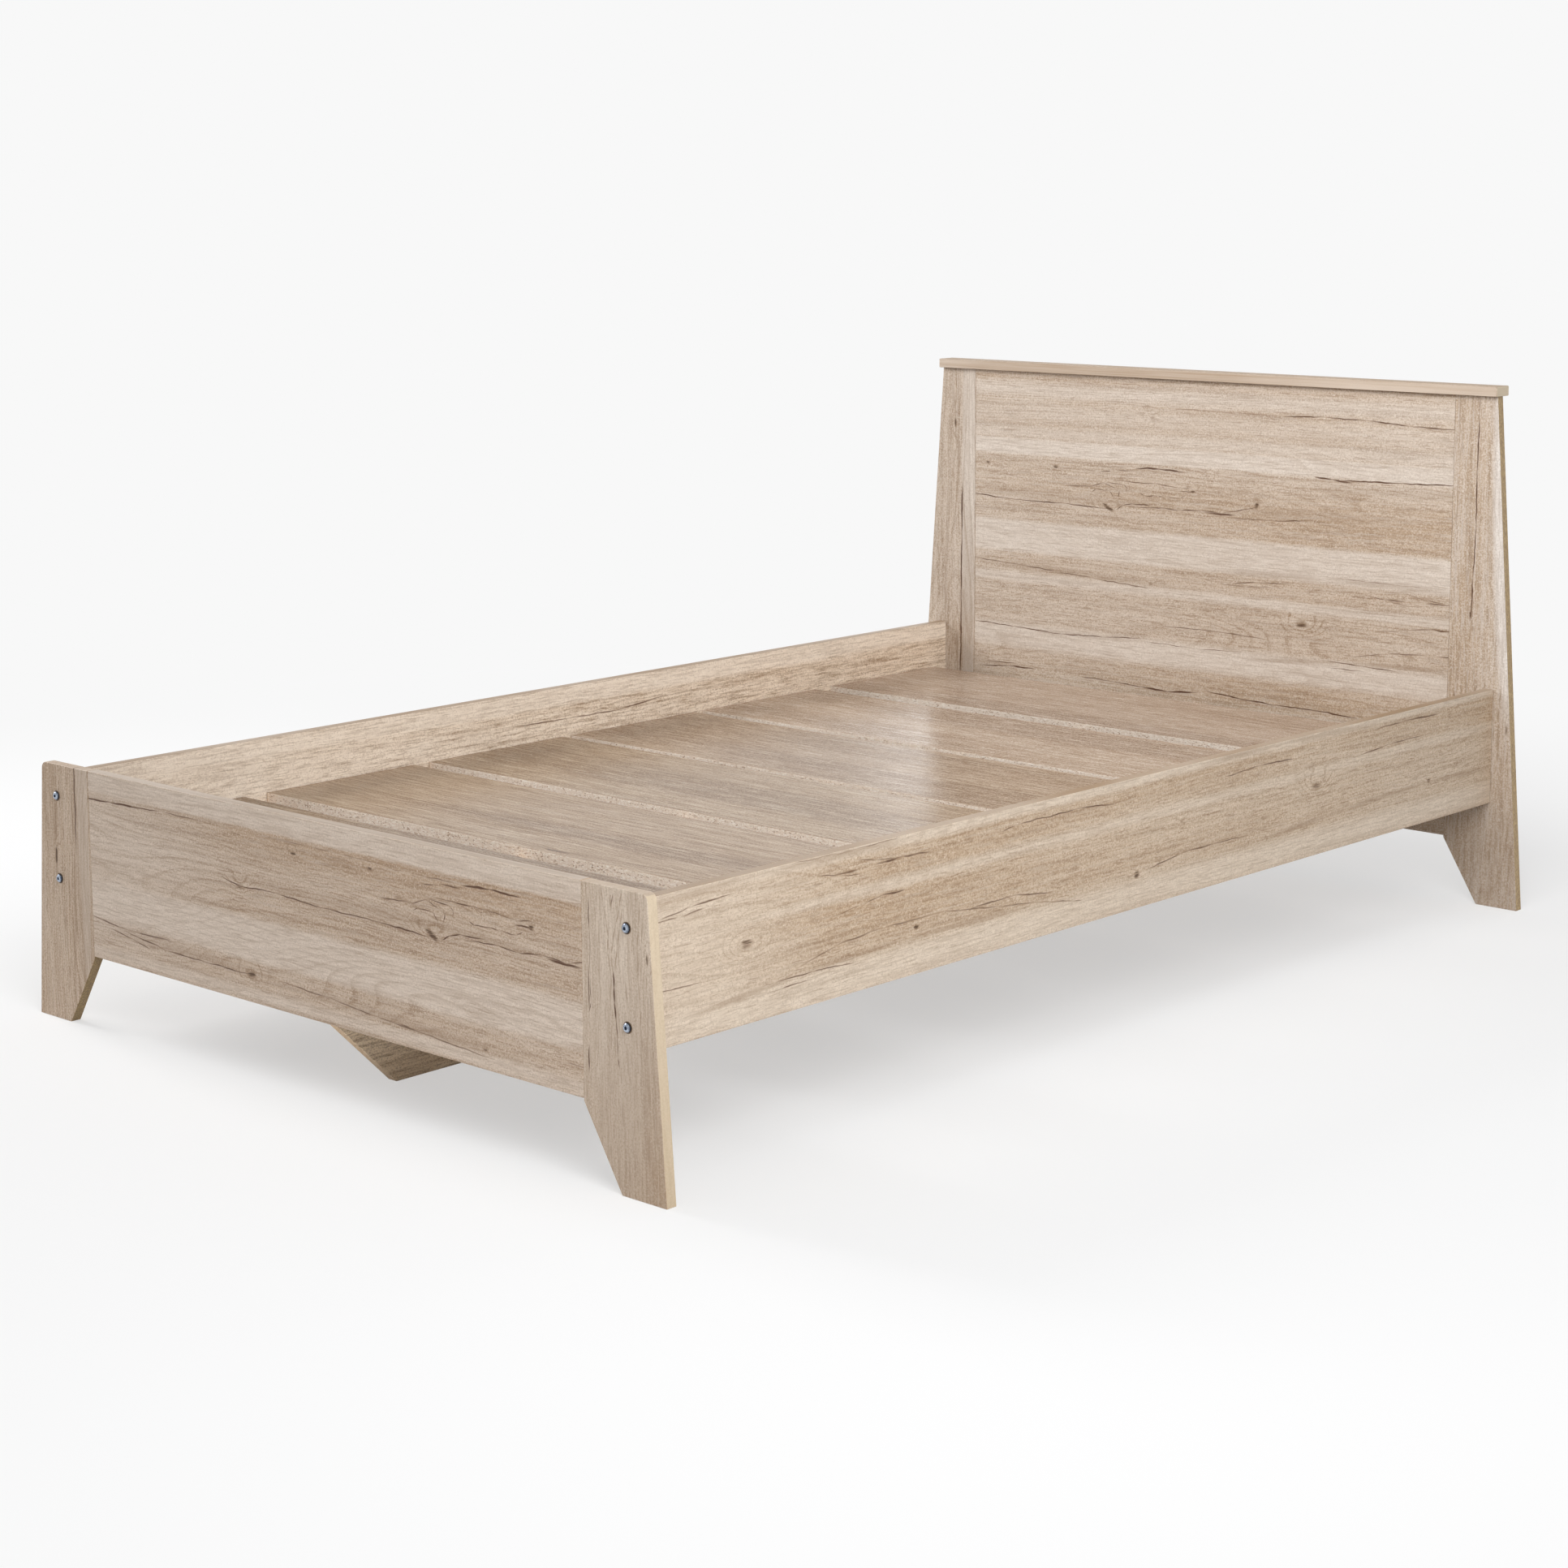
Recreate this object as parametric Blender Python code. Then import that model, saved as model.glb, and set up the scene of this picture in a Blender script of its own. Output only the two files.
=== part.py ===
"""A plain bed of laminated chipboard boards, with the fittings that hold the boards together.

Metres, +Z up. The origin lies on the floor under the middle of the whole bed. The foot end faces -Y
and the head end +Y, and left and right are as seen from the foot. Footboard and headboard are each a
panel between two leaning posts. Two side rails are screwed to the posts through their faces, and six
loose boards lie across the bed on two cleats and on a centre support that stands on the floor.
"""
import math

import bmesh
import bpy
from mathutils import Matrix, Vector

# Boards
BOARD_THICKNESS = 0.016
CAP_THICKNESS = 0.016
EDGE_SOFTENING = 0.0006

# Room between the inner faces of the rails, and between footboard and headboard
INNER_WIDTH = 1.12
INNER_LENGTH = 1.91

# Posts, one outline at both ends
POST_SPREAD_AT_FLOOR = 0.053
POST_LEAN = math.radians(4.25)
POST_COVER_INSIDE_RAIL = 0.0675
FOOT_WIDTH = 0.0736
FOOT_DIAGONAL_HEIGHT = 0.102
POST_CORNER_RADIUS = 0.0095
FOOTBOARD_HEIGHT = 0.3676
HEADBOARD_HEIGHT = 0.8215
PANEL_BOTTOM_HEIGHT = 0.105

# Cap board on the headboard
CAP_FRONT_OVERHANG = 0.009
CAP_BACK_OVERHANG = 0.012
CAP_SIDE_OVERHANG = 0.003
CAP_EDGE_RADIUS = 0.0015

# Side rails, hung from the footboard's top edge
RAIL_DROP = 0.0131
RAIL_HEIGHT = 0.1845

# Boards across the bed, and what carries them
SLAT_RECESS = 0.0805
SLAT_END_CLEARANCE = 0.001
SLAT_GAPS_IN_ALL = 0.2
SLAT_GAP_SHARES = (0.07, 0.21, 0.15, 0.085, 0.105, 0.2, 0.18)
CLEAT_HEIGHT = 0.045
SUPPORT_DIAGONAL_HEIGHT = 0.102
SUPPORT_DIAGONAL_RUN = 0.1036

# Button-head screws that hold the rails
SCREW_RADIUS = 0.0035
SCREW_LENGTH = 0.06
SCREW_HEAD_RADIUS = 0.006
SCREW_HEAD_HEIGHT = 0.0035
SCREW_HEAD_RIM = 0.0008
SCREW_SOCKET_RADIUS = 0.0024
SCREW_SOCKET_DEPTH = 0.002
SCREW_BELOW_RAIL_TOP = 0.0315
SCREW_ABOVE_RAIL_BOTTOM = 0.035

# Wooden dowels
DOWEL_RADIUS = 0.004
DOWEL_CHAMFER = 0.001
EDGE_DOWEL_LENGTH = 0.035
FACE_DOWEL_LENGTH = 0.03
FACE_DOWEL_DEPTH = 0.0105

# Cam discs and their studs, which pull the edges of two boards together
CAM_RADIUS = 0.0075
CAM_FRONT_WALL = 0.003
CAM_SETBACK = 0.034
CAM_CROSS_LENGTH = 0.009
CAM_CROSS_WIDTH = 0.0014
CAM_CROSS_DEPTH = 0.0024
STUD_THREAD_RADIUS = 0.003
STUD_THREAD_LENGTH = 0.011
STUD_SHANK_RADIUS = 0.0035
STUD_NECK_RADIUS = 0.0019
STUD_HEAD_RADIUS = 0.003
STUD_HEAD_LENGTH = 0.004

# Countersunk screws of the cleats
CLEAT_SCREW_RADIUS = 0.002
CLEAT_SCREW_HEAD_RADIUS = 0.004
CLEAT_SCREW_HEAD_DEPTH = 0.0026
CLEAT_SCREW_TIP_LENGTH = 0.003
CLEAT_SCREW_OUTER_WALL = 0.004

# Where fittings sit along their joint, from 0 at its low or left end to 1 at the other
FOOT_CAM_SHARES = (0.5,)
FOOT_DOWEL_SHARES = (0.17, 0.83)
HEAD_CAM_SHARES = (0.15, 0.85)
HEAD_DOWEL_SHARES = (0.5,)
SUPPORT_DOWEL_SHARES = (0.3, 0.75)
CLEAT_SCREW_SHARES = (0.05, 0.35, 0.65, 0.95)

# Play between pieces, and how far cutters run past what they cut
SEAT_GAP = 0.0003
BORE_END_PLAY = 0.001
OVERRUN = 0.002
MERGE_DISTANCE = 0.000001

# Facets
ROUND_SIDES = 16
BORE_SIDES = 12
SOCKET_SIDES = 6
CORNER_STEPS = 6
DOME_STEPS = 3
SMOOTH_ANGLE = math.radians(30.0)

# How boards are turned from lying flat: across the bed, along it, or left lying
ACROSS = (math.radians(90.0), 0.0, 0.0)
ALONG = (math.radians(90.0), 0.0, math.radians(90.0))
LYING = (0.0, 0.0, 0.0)
SIDES = (("left", -1), ("right", 1))

# Finishes: colour, roughness, metallic
DECOR = ((0.56, 0.45, 0.345, 1.0), 0.5, 0.0)
DECOR_SHINY = ((0.45, 0.35, 0.27, 1.0), 0.32, 0.0)
DOWEL_WOOD = ((0.60, 0.44, 0.27, 1.0), 0.7, 0.0)
ZINC = ((0.62, 0.62, 0.60, 1.0), 0.3, 1.0)
DIECAST = ((0.50, 0.50, 0.50, 1.0), 0.42, 1.0)

# Places worked out from the sizes above
MIDDLE_Y = (SCREW_HEAD_HEIGHT - CAP_BACK_OVERHANG) / 2
FOOT_BACK_Y = MIDDLE_Y - INNER_LENGTH / 2
FOOT_FRONT_Y = FOOT_BACK_Y - BOARD_THICKNESS
HEAD_FRONT_Y = MIDDLE_Y + INNER_LENGTH / 2
HEAD_BACK_Y = HEAD_FRONT_Y + BOARD_THICKNESS
RAIL_INNER_X = INNER_WIDTH / 2
RAIL_MIDDLE_X = RAIL_INNER_X + BOARD_THICKNESS / 2
RAIL_OUTER_X = RAIL_INNER_X + BOARD_THICKNESS
RAIL_TOP = FOOTBOARD_HEIGHT - RAIL_DROP
RAIL_BOTTOM = RAIL_TOP - RAIL_HEIGHT
POST_FLOOR_X = RAIL_OUTER_X + POST_SPREAD_AT_FLOOR
POST_INNER_X = RAIL_INNER_X - POST_COVER_INSIDE_RAIL
SLAT_TOP = RAIL_TOP - SLAT_RECESS
SLAT_BOTTOM = SLAT_TOP - BOARD_THICKNESS
SUPPORT_TOP = SLAT_BOTTOM - SEAT_GAP
SLAT_COUNT = len(SLAT_GAP_SHARES) - 1
SLAT_WIDTH = (INNER_LENGTH - SLAT_GAPS_IN_ALL) / SLAT_COUNT
CAM_BORE_DEPTH = BOARD_THICKNESS - CAM_FRONT_WALL


def clear_objects():
    """Remove every object of the open scene."""
    for item in list(bpy.data.objects):
        bpy.data.objects.remove(item, do_unlink=True)


def between(low, high, share):
    """Return the value that lies the given share of the way from low to high."""
    return low + (high - low) * share


def rectangle(low, high):
    """Return the outline of a rectangle from two opposite corners."""
    return [(low[0], low[1]), (high[0], low[1]), (high[0], high[1]), (low[0], high[1])]


def rounded_corner(before, corner, after, radius):
    """Return points of the arc that rounds one corner of an outline."""
    corner = Vector(corner)
    towards_before = (Vector(before) - corner).normalized()
    towards_after = (Vector(after) - corner).normalized()
    half_angle = towards_before.angle(towards_after) / 2
    centre = corner + (towards_before + towards_after).normalized() * (radius / math.sin(half_angle))
    start = corner + towards_before * (radius / math.tan(half_angle)) - centre
    end = corner + towards_after * (radius / math.tan(half_angle)) - centre
    points = []
    for step in range(CORNER_STEPS + 1):
        points.append(tuple(centre + start.slerp(end, step / CORNER_STEPS) * radius))
    return points


def frame(location, z_axis, x_axis=None):
    """Return the matrix of a fitting: its place, its axis and, where it matters, its side direction."""
    z_axis = Vector(z_axis).normalized()
    if x_axis is None:
        x_axis = z_axis.orthogonal()
    x_axis = Vector(x_axis).normalized()
    turn = Matrix((x_axis, z_axis.cross(x_axis), z_axis)).transposed().to_4x4()
    return Matrix.Translation(location) @ turn


def prism_mesh(outline, thickness):
    """Return a mesh of a flat outline, extruded along +Z."""
    shape = bmesh.new()
    face = shape.faces.new([shape.verts.new((x, y, 0.0)) for x, y in outline])
    grown = bmesh.ops.extrude_face_region(shape, geom=[face])
    moved = [item for item in grown["geom"] if isinstance(item, bmesh.types.BMVert)]
    bmesh.ops.translate(shape, verts=moved, vec=(0.0, 0.0, thickness))
    bmesh.ops.recalc_face_normals(shape, faces=shape.faces)
    mesh = bpy.data.meshes.new("prism")
    shape.to_mesh(mesh)
    shape.free()
    return mesh


def turned_mesh(profile, sides):
    """Return a mesh turned about Z from a profile of (radius, height) points that ends on the axis."""
    shape = bmesh.new()
    verts = [shape.verts.new((radius, 0.0, height)) for radius, height in profile]
    edges = [shape.edges.new(pair) for pair in zip(verts, verts[1:])]
    bmesh.ops.spin(
        shape,
        geom=verts + edges,
        cent=(0.0, 0.0, 0.0),
        axis=(0.0, 0.0, 1.0),
        angle=math.tau,
        steps=sides,
        use_merge=True,
    )
    bmesh.ops.remove_doubles(shape, verts=shape.verts, dist=MERGE_DISTANCE)
    bmesh.ops.recalc_face_normals(shape, faces=shape.faces)
    mesh = bpy.data.meshes.new("turned")
    shape.to_mesh(mesh)
    shape.free()
    return mesh


def cylinder_profile(radius, low, high):
    """Return the profile of a plain cylinder between two heights."""
    return [(0.0, low), (radius, low), (radius, high), (0.0, high)]


def finish_material(name, finish):
    """Return a Principled material with one of the finishes."""
    colour, roughness, metallic = finish
    material = bpy.data.materials.new(name + "_finish")
    material.use_nodes = True
    shader = material.node_tree.nodes["Principled BSDF"]
    shader.inputs["Base Color"].default_value = colour
    shader.inputs["Roughness"].default_value = roughness
    shader.inputs["Metallic"].default_value = metallic
    material.diffuse_color = colour
    return material


def assembly(name, y):
    """Add the empty that carries the pieces of one assembly."""
    holder = bpy.data.objects.new(name, None)
    holder.location = (0.0, y, 0.0)
    bpy.context.scene.collection.objects.link(holder)
    return holder


def add_piece(name, mesh, finish, holder, location, turn=LYING):
    """Add one named piece to its assembly, with its own material."""
    mesh.name = name
    mesh.materials.append(finish_material(name, finish))
    piece = bpy.data.objects.new(name, mesh)
    piece.parent = holder
    piece.location = Vector(location) - holder.location
    piece.rotation_euler = turn
    bpy.context.scene.collection.objects.link(piece)
    return piece


def add_board(name, outline, thickness, finish, holder, location, turn, softening=EDGE_SOFTENING, steps=1):
    """Add a board from its outline, with its edges softened."""
    piece = add_piece(name, prism_mesh(outline, thickness), finish, holder, location, turn)
    bevel = piece.modifiers.new("soft edges", "BEVEL")
    bevel.width = softening
    bevel.segments = steps
    bevel.limit_method = "ANGLE"
    bevel.angle_limit = SMOOTH_ANGLE
    return piece


def group_mesh(unit_mesh, frames):
    """Return one mesh with a copy of the unit at each frame."""
    shape = bmesh.new()
    for place in frames:
        copy = unit_mesh.copy()
        copy.transform(place)
        shape.from_mesh(copy)
        bpy.data.meshes.remove(copy)
    bpy.data.meshes.remove(unit_mesh)
    mesh = bpy.data.meshes.new("group")
    shape.to_mesh(mesh)
    shape.free()
    return mesh


def add_fittings(unit_mesh, places, finish, holder):
    """Add one fitting for each name and frame, all of one shape, and return them."""
    fittings = []
    for name, place in places.items():
        mesh = unit_mesh.copy()
        mesh.shade_smooth()
        mesh.set_sharp_from_angle(angle=SMOOTH_ANGLE)
        turn = place.to_euler()
        fittings.append(add_piece(name, mesh, finish, holder, place.translation, turn))
    bpy.data.meshes.remove(unit_mesh)
    return fittings


def add_cutter(name, unit_mesh, frames):
    """Add a hidden group of cutting shapes."""
    cutter = bpy.data.objects.new(name, group_mesh(unit_mesh, frames))
    cutter.hide_render = True
    cutter.display_type = "WIRE"
    bpy.context.scene.collection.objects.link(cutter)
    return cutter


def cut(pieces, cutters):
    """Cut each piece with each of the cutters."""
    for piece in pieces:
        for cutter in cutters:
            boolean = piece.modifiers.new(cutter.name, "BOOLEAN")
            boolean.operation = "DIFFERENCE"
            boolean.solver = "EXACT"
            boolean.object = cutter


def cut_shape(mesh, cutters):
    """Return a mesh with the cutting meshes taken away, and drop them all."""
    scene_objects = bpy.context.scene.collection.objects
    shape = bpy.data.objects.new("shape", mesh)
    scene_objects.link(shape)
    helpers = [bpy.data.objects.new("shape_cutter", cutter) for cutter in cutters]
    for helper in helpers:
        scene_objects.link(helper)
    cut([shape], helpers)
    graph = bpy.context.evaluated_depsgraph_get()
    result = bpy.data.meshes.new_from_object(shape.evaluated_get(graph))
    for item in [shape] + helpers:
        old_mesh = item.data
        bpy.data.objects.remove(item, do_unlink=True)
        bpy.data.meshes.remove(old_mesh)
    return result


def post_outline(side, height, rounded):
    """Return a post's outline, seen from the foot, from its straight inner edge outwards."""
    def outer(z):
        return POST_FLOOR_X - POST_INNER_X - z * math.tan(POST_LEAN)

    floor_corner = (outer(0.0), 0.0)
    outer_corner = (outer(height), height)
    inner_corner = (0.0, height)
    points = [(outer(0.0) - FOOT_WIDTH, 0.0), floor_corner]
    if rounded:
        points += rounded_corner(floor_corner, outer_corner, inner_corner, POST_CORNER_RADIUS)
    else:
        points.append(outer_corner)
    points += [inner_corner, (0.0, FOOT_DIAGONAL_HEIGHT)]
    return [(side * x, z) for x, z in points]


def support_outline(length):
    """Return the outline of the centre support, whose lower corners are cut away."""
    half = length / 2
    foot_half = half - SUPPORT_DIAGONAL_RUN
    return [
        (-foot_half, 0.0),
        (foot_half, 0.0),
        (half, SUPPORT_DIAGONAL_HEIGHT),
        (half, SUPPORT_TOP),
        (-half, SUPPORT_TOP),
        (-half, SUPPORT_DIAGONAL_HEIGHT),
    ]


def screw_mesh():
    """Return a button-head screw whose head sits on z = 0 and whose shank points along +Z."""
    flat_radius = SCREW_SOCKET_RADIUS + SCREW_HEAD_RIM
    dome_height = SCREW_HEAD_HEIGHT - SCREW_HEAD_RIM
    profile = [(0.0, -SCREW_HEAD_HEIGHT)]
    for step in range(DOME_STEPS + 1):
        angle = math.radians(90.0) * (1 - step / DOME_STEPS)
        radius = flat_radius + (SCREW_HEAD_RADIUS - flat_radius) * math.cos(angle)
        profile.append((radius, -SCREW_HEAD_RIM - dome_height * math.sin(angle)))
    profile += [
        (SCREW_HEAD_RADIUS, -SEAT_GAP),
        (SCREW_RADIUS, -SEAT_GAP),
        (SCREW_RADIUS, SCREW_LENGTH - SCREW_RADIUS),
        (0.0, SCREW_LENGTH),
    ]
    socket = cylinder_profile(
        SCREW_SOCKET_RADIUS, -SCREW_HEAD_HEIGHT - OVERRUN, SCREW_SOCKET_DEPTH - SCREW_HEAD_HEIGHT
    )
    return cut_shape(turned_mesh(profile, ROUND_SIDES), [turned_mesh(socket, SOCKET_SIDES)])


def dowel_mesh(low, high):
    """Return a dowel with chamfered ends."""
    end_radius = DOWEL_RADIUS - DOWEL_CHAMFER
    profile = [
        (0.0, low),
        (end_radius, low),
        (DOWEL_RADIUS, low + DOWEL_CHAMFER),
        (DOWEL_RADIUS, high - DOWEL_CHAMFER),
        (end_radius, high),
        (0.0, high),
    ]
    return turned_mesh(profile, BORE_SIDES)


def stud_mesh():
    """Return a cam stud: its thread lies below z = 0 and its head above, at the cam's middle."""
    shank_end = CAM_SETBACK - CAM_RADIUS - BORE_END_PLAY
    profile = [
        (0.0, -STUD_THREAD_LENGTH),
        (STUD_THREAD_RADIUS, -STUD_THREAD_LENGTH),
        (STUD_THREAD_RADIUS, 0.0),
        (STUD_SHANK_RADIUS, 0.0),
        (STUD_SHANK_RADIUS, shank_end),
        (STUD_NECK_RADIUS, shank_end),
        (STUD_NECK_RADIUS, CAM_SETBACK - STUD_HEAD_LENGTH),
        (STUD_HEAD_RADIUS, CAM_SETBACK - STUD_HEAD_LENGTH),
        (STUD_HEAD_RADIUS, CAM_SETBACK),
        (0.0, CAM_SETBACK),
    ]
    return turned_mesh(profile, BORE_SIDES)


def cleat_screw_profile(play, overrun):
    """Return the profile of a countersunk screw, or of its hole with play round it and over its head."""
    length = 2 * BOARD_THICKNESS + SEAT_GAP - CLEAT_SCREW_OUTER_WALL
    head_radius = CLEAT_SCREW_HEAD_RADIUS + play
    shank_radius = CLEAT_SCREW_RADIUS + play
    neck = CLEAT_SCREW_HEAD_DEPTH + SEAT_GAP
    return [
        (0.0, SEAT_GAP - overrun),
        (head_radius, SEAT_GAP - overrun),
        (head_radius, SEAT_GAP),
        (shank_radius, neck),
        (shank_radius, length - CLEAT_SCREW_TIP_LENGTH),
        (0.0, length + play),
    ]


def cross_outline():
    """Return the outline of a cam disc's cross recess."""
    long = CAM_CROSS_LENGTH / 2
    short = CAM_CROSS_WIDTH / 2
    quarter = [(long, -short), (long, short), (short, short)]
    points = []
    for turn in range(4):
        spin = Matrix.Rotation(turn * math.radians(90.0), 2)
        points += [tuple(spin @ Vector(point)) for point in quarter]
    return points


def disc_mesh():
    """Return a cam disc: its axis runs into the panel and its cavity opens along its own +X."""
    disc = turned_mesh(cylinder_profile(CAM_RADIUS, SEAT_GAP, CAM_BORE_DEPTH - SEAT_GAP), ROUND_SIDES)
    head_room = cylinder_profile(STUD_HEAD_RADIUS + SEAT_GAP, -SEAT_GAP, CAM_RADIUS + OVERRUN)
    cavity = turned_mesh(head_room, BORE_SIDES)
    cavity.transform(frame((0.0, 0.0, BOARD_THICKNESS / 2), (1.0, 0.0, 0.0)))
    cross = prism_mesh(cross_outline(), CAM_CROSS_DEPTH + OVERRUN)
    cross.transform(Matrix.Translation((0.0, 0.0, SEAT_GAP - OVERRUN)))
    return cut_shape(disc, [cavity, cross])


def rail_screw_places(name, end_y, inward):
    """Return the names and frames of the screws through one end's posts, pointing into the rails."""
    heights = (
        ("upper", RAIL_TOP - SCREW_BELOW_RAIL_TOP),
        ("lower", RAIL_BOTTOM + SCREW_ABOVE_RAIL_BOTTOM),
    )
    places = {}
    for side_name, side in SIDES:
        for level, z in heights:
            location = (side * RAIL_MIDDLE_X, end_y, z)
            places[f"{name}_{side_name}_{level}_screw"] = frame(location, (0.0, inward, 0.0))
    return places


def support_dowel_places():
    """Return the names and frames of the dowels between the two panels and the centre support."""
    low = max(PANEL_BOTTOM_HEIGHT, SUPPORT_DIAGONAL_HEIGHT)
    places = {}
    for end, joint_y, inward in (("foot", FOOT_BACK_Y, 1.0), ("head", HEAD_FRONT_Y, -1.0)):
        for number, share in enumerate(SUPPORT_DOWEL_SHARES, start=1):
            location = (0.0, joint_y, between(low, SUPPORT_TOP, share))
            places[f"support_{end}_dowel_{number}"] = frame(location, (0.0, inward, 0.0))
    return places


def edge_joint_places(name, kind, shares, top, back_y):
    """Return names and frames on both upright joints of a panel with its posts, pointing into the panel."""
    places = {}
    for side_name, side in SIDES:
        for number, share in enumerate(shares, start=1):
            z = between(PANEL_BOTTOM_HEIGHT, top, share)
            location = (side * POST_INNER_X, back_y - BOARD_THICKNESS / 2, z)
            places[f"{name}_{side_name}_{kind}_{number}"] = frame(location, (-side, 0.0, 0.0))
    return places


def cap_dowel_places():
    """Return the names and frames of the dowels under the cap: one in each post and one in the panel."""
    post_top_x = POST_FLOOR_X - HEADBOARD_HEIGHT * math.tan(POST_LEAN)
    post_middle_x = (POST_INNER_X + post_top_x) / 2
    middle_y = HEAD_BACK_Y - BOARD_THICKNESS / 2
    places = {}
    for number, x in enumerate((-post_middle_x, 0.0, post_middle_x), start=1):
        places[f"cap_dowel_{number}"] = frame((x, middle_y, HEADBOARD_HEIGHT), (0.0, 0.0, -1.0))
    return places


def disc_places(stud_places, back_y):
    """Return each stud's cam disc: on the panel's back face, with its own x towards the joint."""
    places = {}
    for name, place in stud_places.items():
        direction = place.to_3x3() @ Vector((0.0, 0.0, 1.0))
        centre = place.translation + direction * CAM_SETBACK
        centre.y = back_y
        places[name.replace("stud", "disc")] = frame(centre, (0.0, -1.0, 0.0), -direction)
    return places


def add_end_boards(name, height, rounded, back_y, holder):
    """Add the two posts and the panel of a footboard or headboard."""
    posts = []
    for side_name, side in SIDES:
        outline = post_outline(side, height, rounded)
        location = (side * POST_INNER_X, back_y, 0.0)
        posts.append(
            add_board(f"{name}_{side_name}_post", outline, BOARD_THICKNESS, DECOR, holder, location, ACROSS)
        )
    half = POST_INNER_X - SEAT_GAP
    outline = rectangle((-half, 0.0), (half, height - PANEL_BOTTOM_HEIGHT))
    location = (0.0, back_y, PANEL_BOTTOM_HEIGHT)
    panel = add_board(f"{name}_panel", outline, BOARD_THICKNESS, DECOR, holder, location, ACROSS)
    return posts, panel


def add_cap(holder):
    """Add the cap board that lies on the headboard."""
    post_top_x = POST_FLOOR_X - HEADBOARD_HEIGHT * math.tan(POST_LEAN)
    half = post_top_x + CAP_SIDE_OVERHANG
    outline = rectangle((-half, -BOARD_THICKNESS - CAP_FRONT_OVERHANG), (half, CAP_BACK_OVERHANG))
    location = (0.0, HEAD_BACK_Y, HEADBOARD_HEIGHT + SEAT_GAP)
    return add_board(
        "headboard_cap", outline, CAP_THICKNESS, DECOR, holder, location, LYING, CAP_EDGE_RADIUS, DOME_STEPS
    )


def add_rails(holder):
    """Add the two side rails."""
    half = INNER_LENGTH / 2 - SEAT_GAP
    outline = rectangle((-half, 0.0), (half, RAIL_HEIGHT))
    rails = []
    for side_name, side in SIDES:
        low_x = side * RAIL_MIDDLE_X - BOARD_THICKNESS / 2
        location = (low_x, MIDDLE_Y, RAIL_BOTTOM)
        rails.append(
            add_board(f"{side_name}_side_rail", outline, BOARD_THICKNESS, DECOR, holder, location, ALONG)
        )
    return rails


def add_cleats(holder):
    """Add the strips inside the rails that carry the ends of the slat boards."""
    half = INNER_LENGTH / 2 - SEAT_GAP
    outline = rectangle((-half, 0.0), (half, CLEAT_HEIGHT))
    middle_x = RAIL_INNER_X - SEAT_GAP - BOARD_THICKNESS / 2
    cleats = []
    for side_name, side in SIDES:
        low_x = side * middle_x - BOARD_THICKNESS / 2
        location = (low_x, MIDDLE_Y, SLAT_BOTTOM - SEAT_GAP - CLEAT_HEIGHT)
        cleats.append(
            add_board(f"{side_name}_slat_cleat", outline, BOARD_THICKNESS, DECOR, holder, location, ALONG)
        )
    return cleats


def cleat_screw_places():
    """Return the names and frames of the cleat screws, from the cleats' inner faces into the rails."""
    half = INNER_LENGTH / 2
    inner_x = RAIL_INNER_X - SEAT_GAP - BOARD_THICKNESS
    middle_z = SLAT_BOTTOM - SEAT_GAP - CLEAT_HEIGHT / 2
    places = {}
    for side_name, side in SIDES:
        for number, share in enumerate(CLEAT_SCREW_SHARES, start=1):
            y = MIDDLE_Y + between(-half, half, share)
            places[f"{side_name}_cleat_screw_{number}"] = frame((side * inner_x, y, middle_z), (side, 0.0, 0.0))
    return places


def add_slats(holder):
    """Add the loose boards across the bed, from the foot to the head."""
    half_length = INNER_WIDTH / 2 - SLAT_END_CLEARANCE
    outline = rectangle((-half_length, -SLAT_WIDTH / 2), (half_length, SLAT_WIDTH / 2))
    edge_y = FOOT_BACK_Y
    for number in range(SLAT_COUNT):
        edge_y += SLAT_GAPS_IN_ALL * SLAT_GAP_SHARES[number]
        location = (0.0, edge_y + SLAT_WIDTH / 2, SLAT_BOTTOM)
        name = f"slat_board_{number + 1}"
        add_board(name, outline, BOARD_THICKNESS, DECOR_SHINY, holder, location, LYING)
        edge_y += SLAT_WIDTH


def add_support(holder):
    """Add the board on edge that carries the slat boards along the middle of the bed."""
    outline = support_outline(INNER_LENGTH - 2 * SEAT_GAP)
    location = (-BOARD_THICKNESS / 2, MIDDLE_Y, 0.0)
    return add_board("centre_support", outline, BOARD_THICKNESS, DECOR, holder, location, ALONG)


def add_rail_screws(posts, rails, foot, head):
    """Add the screws of the rails, with their holes through the posts and into the rails."""
    sets = (
        ("footboard", FOOT_FRONT_Y, 1.0, posts[:2], foot),
        ("headboard", HEAD_BACK_Y, -1.0, posts[2:], head),
    )
    hole = cylinder_profile(SCREW_RADIUS + SEAT_GAP, -OVERRUN, SCREW_LENGTH + BORE_END_PLAY)
    for name, end_y, inward, end_posts, holder in sets:
        places = rail_screw_places(name, end_y, inward)
        add_fittings(screw_mesh(), places, ZINC, holder)
        holes = add_cutter(f"{name}_screw_hole_cutter", turned_mesh(hole, BORE_SIDES), places.values())
        cut(end_posts + rails, [holes])


def add_dowels(name, low, high, places, pieces, holder):
    """Add dowels from low to high about their joint, with holes in the pieces that they place."""
    add_fittings(dowel_mesh(low, high), places, DOWEL_WOOD, holder)
    hole = cylinder_profile(DOWEL_RADIUS + SEAT_GAP, low - BORE_END_PLAY, high + BORE_END_PLAY)
    cut(pieces, [add_cutter(name + "_hole_cutter", turned_mesh(hole, BORE_SIDES), places.values())])


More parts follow.
